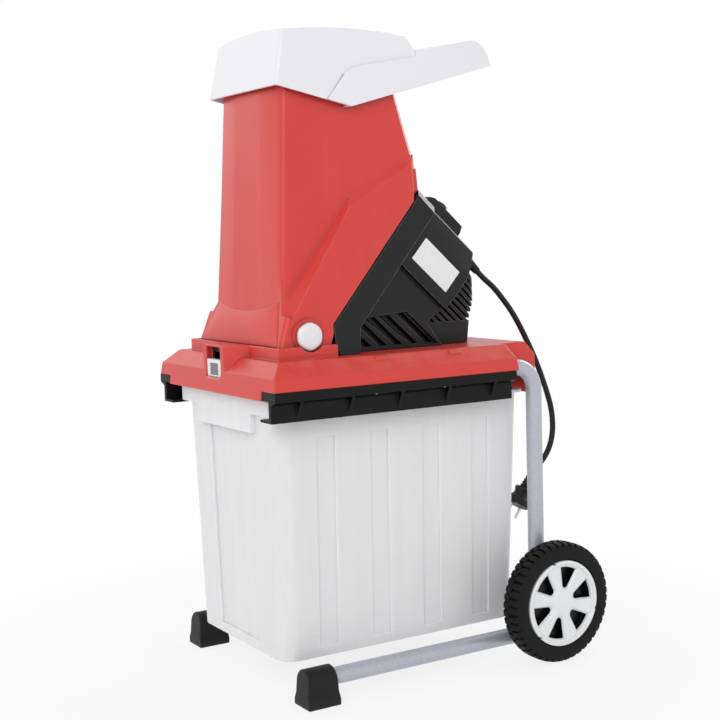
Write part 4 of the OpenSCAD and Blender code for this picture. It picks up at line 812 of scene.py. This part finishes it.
def makeHingeCaps(settings):
    verts = [vert.co for vert in cadNodes["pivot_caps"].data.vertices]
    caps = bmesh.new()
    for sign in (-1, 1):
        outward = [vert.y * sign for vert in verts if vert.y * sign > 0]
        seat, end = min(outward), max(outward)
        rings = []
        for share, height in settings["profile"]:
            y = sign * (seat + (end - seat) * height)
            ring = []
            for angle in turnAngles(settings["turns"]):
                wave = 1 + settings["lobe"] * math.cos(settings["lobes"] * angle) * share
                reach = settings["radius"] * share * wave
                ring.append(caps.verts.new((hingeMiddle.x + reach * math.sin(angle), y,
                                            hingeMiddle.z + reach * math.cos(angle))))
            rings.append(ring)
        skin(caps, rings, False)
        for y, ring in ((seat, rings[0]), (end, rings[-1])):  # a fan closes each end
            middle = caps.verts.new((hingeMiddle.x, sign * y, hingeMiddle.z))
            for one, two in zip(ring, ring[1:] + ring[:1]):
                caps.faces.new((middle, one, two))
    dress(makePiece(caps, "hingeCaps", allSoft), "stand", slotOf["pivot_caps"], "pivot_caps")


shadeLiningSettings = {
    "face": 0.00016, "seat": 0.00028, "back": 0.0178,  # metres behind the latch
    "hole": (0.0171, 0.0052, 0.0388), "flange": (0.0221, 0.0, 0.0447),  # half width, bottom and top
    "wall": 0.0008,
}


def makeLatchShadeLining(settings):  # black tray with a thin flange, lining the pocket behind the latch: painted shade, a dark sheet standing in for the shade in the deep pocket
    low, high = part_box("box_latch")
    face, seat, back, wall = (settings[key] for key in ("face", "seat", "back", "wall"))
    tray = bmesh.new()

    def ring(behind, half, bottom, top):
        corners = ((-half, bottom), (half, bottom), (half, top), (-half, top))
        return [tray.verts.new((high.x + behind, y, low.z + z)) for y, z in corners]

    hole, flange = settings["hole"], settings["flange"]
    inside = (hole[0] - wall, hole[1] + wall, hole[2] - wall)
    skin(tray, [ring(back - wall, *inside), ring(face, *inside), ring(face, *flange), ring(seat, *flange),
                ring(seat, *hole), ring(back, *hole)])
    dress(makePiece(tray, "latchShadeLining"), "stand", "black_plastic")


facetSettings = {"proud": 0.00005, "thick": 0.0022, "within": 0.98, "flat": 1}


def makeFlangeFacets(settings):  # closes the bevelled top corners of the motor's flange
    flange = cadNodes["motor_flange"].data
    for sign, word in ((-1, "Near"), (1, "Far")):
        aim = (slantUp + Vector((0, sign, 0))).normalized()
        rim = [face for face in flange.polygons if face.normal.dot(aim) > settings["within"]]
        way = sum((face.normal * face.area for face in rim), Vector()).normalized()
        plate = bmesh.new()
        for point in (flange.vertices[k].co for face in rim for k in face.vertices):
            plate.verts.new(point + way * settings["proud"])
            plate.verts.new(point - way * settings["thick"])
        hull = bmesh.ops.convex_hull(plate, input=plate.verts[:])
        spare = {item for key in ("geom_interior", "geom_unused") for item in hull[key]
                 if isinstance(item, bmesh.types.BMVert)}
        bmesh.ops.delete(plate, geom=list(spare), context="VERTS")
        bmesh.ops.dissolve_limit(plate, angle_limit=math.radians(settings["flat"]), verts=plate.verts[:],
                                 edges=plate.edges[:])
        dress(makePiece(plate, f"flangeFacet{word}"), "stand", "black_plastic")


screwSettings = {
    "places": [(-0.106, 0.1845), (0.009, 0.1845)],  # along and out from the middle
    "height": 0.4247, "sides": 20,
    "head": [(0.0030, -0.0004), (0.0031, 0.0002), (0.0031, 0.0008), (0.0028, 0.0014), (0.0021, 0.0019),
             (0.0013, 0.0021), (0.0011, 0.0019), (0.0010, 0.0010)],  # radius and depth, the last ones in the drive
}


def makeRailScrews(settings):
    for sign, word in ((-1, "Near"), (1, "Far")):
        for order, (x, out) in enumerate(settings["places"], 1):
            start = (x, sign * out, settings["height"])
            screw = turned(f"railScrew{word}{order}", settings["head"], start, (0, 0, -1), settings["sides"])
            dress(screw, "stand", "bright_steel")


insertSettings = {
    "border": 0.2,  # of the latch's width and height
    "gap": 0.0001, "sunk": 0.0005, "deep": 0.0016, "corner": 0.0004,
    "ridges": 5, "ridge": 0.0007, "ridgeShares": (0, 0.2, 0.7, 0.9),
}


def makeLatchInsert(settings):
    low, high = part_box("box_latch")
    across = (high.y - low.y) * settings["border"] + settings["gap"]
    upright = (high.z - low.z) * settings["border"] + settings["gap"]
    bottom, top = low.z + upright, high.z - upright
    face, back = low.x + settings["sunk"], low.x + settings["sunk"] + settings["deep"]
    groove = face + settings["ridge"]
    pitch = (top - bottom) / settings["ridges"]
    outline = []
    for k in range(settings["ridges"]):
        outline += [(x, bottom + (k + share) * pitch)
                    for x, share in zip((groove, face, face, groove), settings["ridgeShares"])]
    outline += [(groove, top), (back, top), (back, bottom)]
    plate = bmesh.new()
    sides = [[plate.verts.new((x, y, z)) for x, z in outline] for y in (low.y + across, high.y - across)]
    skin(plate, sides)
    insert = makePiece(plate, "latchInsert")
    soft = insert.modifiers.new("softEdges", "BEVEL")
    soft.width = settings["corner"]
    soft.segments = 2
    soft.limit_method = "ANGLE"
    dress(insert, "latch", "bright_steel", finish=brushed("latchSteel", insertLook))


makeSkirtBelly(bellySettings)
makeHingeCaps(capSettings)
makeLatchShadeLining(shadeLiningSettings)
makeFlangeFacets(facetSettings)
makeRailScrews(screwSettings)
makeLatchInsert(insertSettings)
print("skirt front and small hardware made")


# Wheels: tyres with block tread, and covers with tapered windows

wheelSides = {"left": -1, "right": 1}


def wheelPlace(side):
    low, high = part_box(f"tyre_{side}")
    return (low + high) / 2


def dressWheelPiece(solid, name, side, node, sharp):
    piece = makePiece(solid, f"{name}{side.capitalize()}", sharp)
    evenShading(piece, 70, True)
    node = f"{node}_{side}"
    dress(piece, f"wheel_unit_{side}", slotOf[node], node)


tyreSettings = {
    "lugs": 45,  # blocks in each row
    "columns": (-0.19, -0.14, 0.14, 0.19, 0.31, 0.36, 0.64, 0.69),  # of one block's pitch
    "slot": 0.14,  # half width of a cross slot at its floor
    "pocket": 0.31,  # how far a slot turns along the tread at its inner end
    "pocketReach": 3.2,  # pockets end this far out
    "depth": 4.2, "sharp": 28,
    "half": [  # radius, distance out and share of the slot depth, millimetres, bead to middle
        (62.0, 13.4, 0), (64.6, 14.6, 0), (65.4, 16.4, 0), (67.2, 17.5, 0), (69.6, 17.9, 0), (70.1, 17.5, 0),
        (71.3, 17.5, 0), (71.8, 17.95, 0), (76.0, 18.0, 0), (79.6, 17.75, 0), (82.2, 17.2, 0), (84.0, 16.6, 0),
        (85.2, 16.1, 0.3), (86.8, 15.2, 0.6), (88.6, 13.4, 1), (89.5, 11.2, 1), (89.9, 8.6, 1), (90.0, 5.6, 1),
        (90.0, 3.6, 1), (90.0, 3.1, 1), (90.0, 1.0, 1), (90.0, 0.4, 0),
    ],
}


def slotDepth(settings, share, out):
    near = 1e-6  # for columns that lie on a slot's edge
    floor = settings["slot"] + near
    share = share if out > 0 else share + 0.5  # the inner row is half a block on
    share = (share + 0.5) % 1 - 0.5
    pocket = abs(out) < settings["pocketReach"] and -floor <= share <= settings["pocket"] + near
    return settings["depth"] if abs(share) <= floor or pocket else 0.0


def makeTyre(side, settings):
    sign, middle = wheelSides[side], wheelPlace(side)
    outline = settings["half"] + [(radius, -out, share) for radius, out, share in settings["half"][::-1]]
    solid = bmesh.new()
    rings = []
    for k in range(settings["lugs"]):
        for column in settings["columns"]:
            angle = 2 * math.pi * (k + column) / settings["lugs"]
            ring = []
            for radius, out, share in outline:
                reach = (radius - share * slotDepth(settings, column, out)) / 1000
                ring.append(solid.verts.new((middle.x + reach * math.cos(angle), middle.y + sign * out / 1000,
                                             middle.z + reach * math.sin(angle))))
            rings.append(ring)
    skin(solid, rings + rings[:1], False)
    dressWheelPiece(solid, "blockTyre", side, "tyre", settings["sharp"])


coverSettings = {
    "profile": [  # radius and distance out from the tyre's middle, millimetres
        (0.8, 18.0), (9.0, 18.0), (15.0, 17.9), (20.0, 17.5), (26.0, 16.9), (36.0, 16.5), (46.0, 16.6), (54.0, 16.9),
        (57.8, 17.1), (58.3, 17.5), (58.5, 18.2), (58.9, 18.7), (59.6, 18.95), (60.8, 19.0), (62.2, 18.95),
        (63.2, 18.6), (63.8, 18.0), (64.0, 17.2), (64.0, 14.2), (62.0, 13.0), (56.0, 12.6), (0.8, 12.6),
    ],
    "sides": 144, "sharp": 30,
    "windows": 6, "turn": 16,  # degrees
    "tip": 28.0, "tipRadius": 6.0, "outer": 54.0, "spread": 16.5, "spreadRadius": 56.0, "arcSteps": 12,
    "levels": [(11.0, -1.2), (13.2, -0.4), (15.2, 0.5), (16.4, 1.7), (17.2, 3.4), (20.0, 10.0)],  # height and growth
    "tipSoft": 1.4, "outerSoft": 0.5,  # the hub end slopes more gently than the rim end
    "notches": 3, "notchTurn": -15, "notchRadius": 2.8, "notchAt": 64.2, "notchLevels": (10, 21), "notchSides": 20,
}


def windowOutline(settings, grow):
    tip, radius = settings["tip"], settings["tipRadius"] + grow * settings["tipSoft"]
    spread = math.radians(settings["spread"])
    wide = Vector((settings["spreadRadius"] * math.cos(spread), settings["spreadRadius"] * math.sin(spread)))
    low = Vector((tip, settings["tipRadius"]))
    way = (wide - low).normalized()
    begin = low + Vector((-way.y, way.x)) * grow
    outer = settings["outer"] + grow * settings["outerSoft"]
    half = begin.dot(way)
    reach = -half + math.sqrt(half * half - begin.dot(begin) + outer * outer)
    corner = begin + way * reach  # where the window's side meets its outer arc
    lean = math.atan2(way.x, -way.y)
    edge = math.atan2(corner.y, corner.x)
    shares = [k / settings["arcSteps"] for k in range(settings["arcSteps"] + 1)]
    points = []
    for share in shares:
        angle = lean + (2 * math.pi - 2 * lean) * share
        points.append((tip + radius * math.cos(angle), radius * math.sin(angle)))
    for share in shares:
        angle = -edge + 2 * edge * share
        points.append((outer * math.cos(angle), outer * math.sin(angle)))
    return points


def makeCover(side, settings):
    sign, middle = wheelSides[side], wheelPlace(side)

    def spot(x, z, out):
        return middle + Vector((x / 1000, sign * out / 1000, z / 1000))

    def circle(radius, out, sides, x=0.0, z=0.0):
        return [spot(x + radius * math.cos(angle), z + radius * math.sin(angle), out) for angle in turnAngles(sides)]

    def addLoft(solid, loops):
        rings = [[solid.verts.new(point) for point in loop] for loop in loops]
        skin(solid, rings)

    disc, cutter = bmesh.new(), bmesh.new()
    addLoft(disc, [circle(radius, out, settings["sides"]) for radius, out in settings["profile"]])
    for k in range(settings["windows"]):
        turn = math.radians(settings["turn"] + 360 * k / settings["windows"])
        across, up = math.cos(turn), math.sin(turn)
        loops = []
        for height, grow in settings["levels"]:
            loops.append([spot(x * across - z * up, x * up + z * across, height)
                          for x, z in windowOutline(settings, grow)])
        addLoft(cutter, loops)
    for k in range(settings["notches"]):
        turn = math.radians(settings["notchTurn"] + 360 * k / settings["notches"])
        x, z = settings["notchAt"] * math.cos(turn), settings["notchAt"] * math.sin(turn)
        addLoft(cutter, [circle(settings["notchRadius"], out, settings["notchSides"], x, z)
                         for out in settings["notchLevels"]])
    whole, tool = makePiece(disc, "coverDisc"), makePiece(cutter, "coverCutter")
    cut = whole.modifiers.new("cutWindows", "BOOLEAN")
    cut.operation = "DIFFERENCE"
    cut.solver = "EXACT"
    cut.object = tool
    bpy.context.view_layer.update()
    carved = bmesh.new()
    carved.from_object(whole, bpy.context.evaluated_depsgraph_get())
    for part in (whole, tool):
        data = part.data
        bpy.data.objects.remove(part)
        bpy.data.meshes.remove(data)
    dressWheelPiece(carved, "windowCover", side, "wheel_cover", settings["sharp"])


for side in wheelSides:
    makeTyre(side, tyreSettings)
    makeCover(side, coverSettings)
print("wheels dressed")


# Floor, backdrop and light: a white tent, a broad lamp in front and two weak ones behind

studio = {
    "floorHalf": 12.0,
    "floorColour": (0.86, 0.86, 0.865, 1.0),
    "floorNear": 0.80, "floorFar": 1.0,  # share of plain white that the eye meets in the floor
    "nearReach": 0.42, "farReach": 0.95,  # metres from the machine's middle
    "ambient": 0.97, "ceiling": 0.62, "ceilingFrom": 0.3, "ceilingTo": 0.9,
    "aim": (0, 0, 0.45),
    "lamps": {  # place, energy and size
        "keyLamp": ((-2.6, -2.6, 2.3), 38.0, 2.2),
        "backLamp": ((-0.9, 2.6, 1.9), 6.0, 1.6),
        "sideLamp": ((2.85, 0.85, 1.8), 20.0, 1.1),
    },
}


def seenShare(board):
    path = {name: board.add("ShaderNodeLightPath", {}, {}, name)
            for name in ("Is Camera Ray", "Is Glossy Ray", "Is Transmission Ray")}
    return (path["Is Camera Ray"] + path["Is Glossy Ray"] + path["Is Transmission Ray"]).clamped()


def makeFloor(settings):
    half = settings["floorHalf"]
    mesh = bpy.data.meshes.new("studioFloor")
    mesh.from_pydata([(-half, -half, 0), (half, -half, 0), (half, half, 0), (-half, half, 0)], [], [(0, 1, 2, 3)])
    floor = bpy.data.objects.new("studioFloor", mesh)
    scene.collection.objects.link(floor)
    board = newBoard("studioFloor")
    reach = board.add("ShaderNodeVectorMath", {"operation": "LENGTH"}, {0: board.place()}, "Value")
    far = board.span(reach, settings["nearReach"], settings["farReach"])
    share = settings["floorNear"] + far * (settings["floorFar"] - settings["floorNear"])
    plain = board.add("ShaderNodeBsdfDiffuse", {}, {"Color": settings["floorColour"]})
    white = board.add("ShaderNodeEmission", {}, {"Color": (1, 1, 1, 1), "Strength": 1.0})
    mixed = board.add("ShaderNodeMixShader", {}, {0: seenShare(board) * share, 1: plain, 2: white})
    board.add("ShaderNodeOutputMaterial", {}, {"Surface": mixed})
    mesh.materials.append(board.owner)


def makeWorld(settings):
    world = bpy.data.worlds.new("studioWorld")
    board = Board(world)
    up = board.axis(board.add("ShaderNodeTexCoord", {}, {}, "Generated"), "Z")
    overhead = board.span(up, settings["ceilingFrom"], settings["ceilingTo"])
    level = settings["ambient"] + seenShare(board) * (1 - settings["ambient"])
    level = level * (1 - overhead * (1 - settings["ceiling"]))
    glow = board.add("ShaderNodeBackground", {}, {"Color": (1, 1, 1, 1), "Strength": level})
    board.add("ShaderNodeOutputWorld", {}, {"Surface": glow})
    scene.world = world


def addLamp(name, place, energy, size, target):
    data = bpy.data.lights.new(name, "AREA")
    data.energy = energy
    data.size = size
    lamp = bpy.data.objects.new(name, data)
    lamp.visible_camera = False
    lamp.location = place
    aim = Vector(target) - Vector(place)
    lamp.rotation_euler = aim.to_track_quat("-Z", "Y").to_euler()
    scene.collection.objects.link(lamp)


makeFloor(studio)
makeWorld(studio)
for name, (place, energy, size) in studio["lamps"].items():
    addLamp(name, place, energy, size, studio["aim"])
print("stage lit")

bpy.context.view_layer.update()
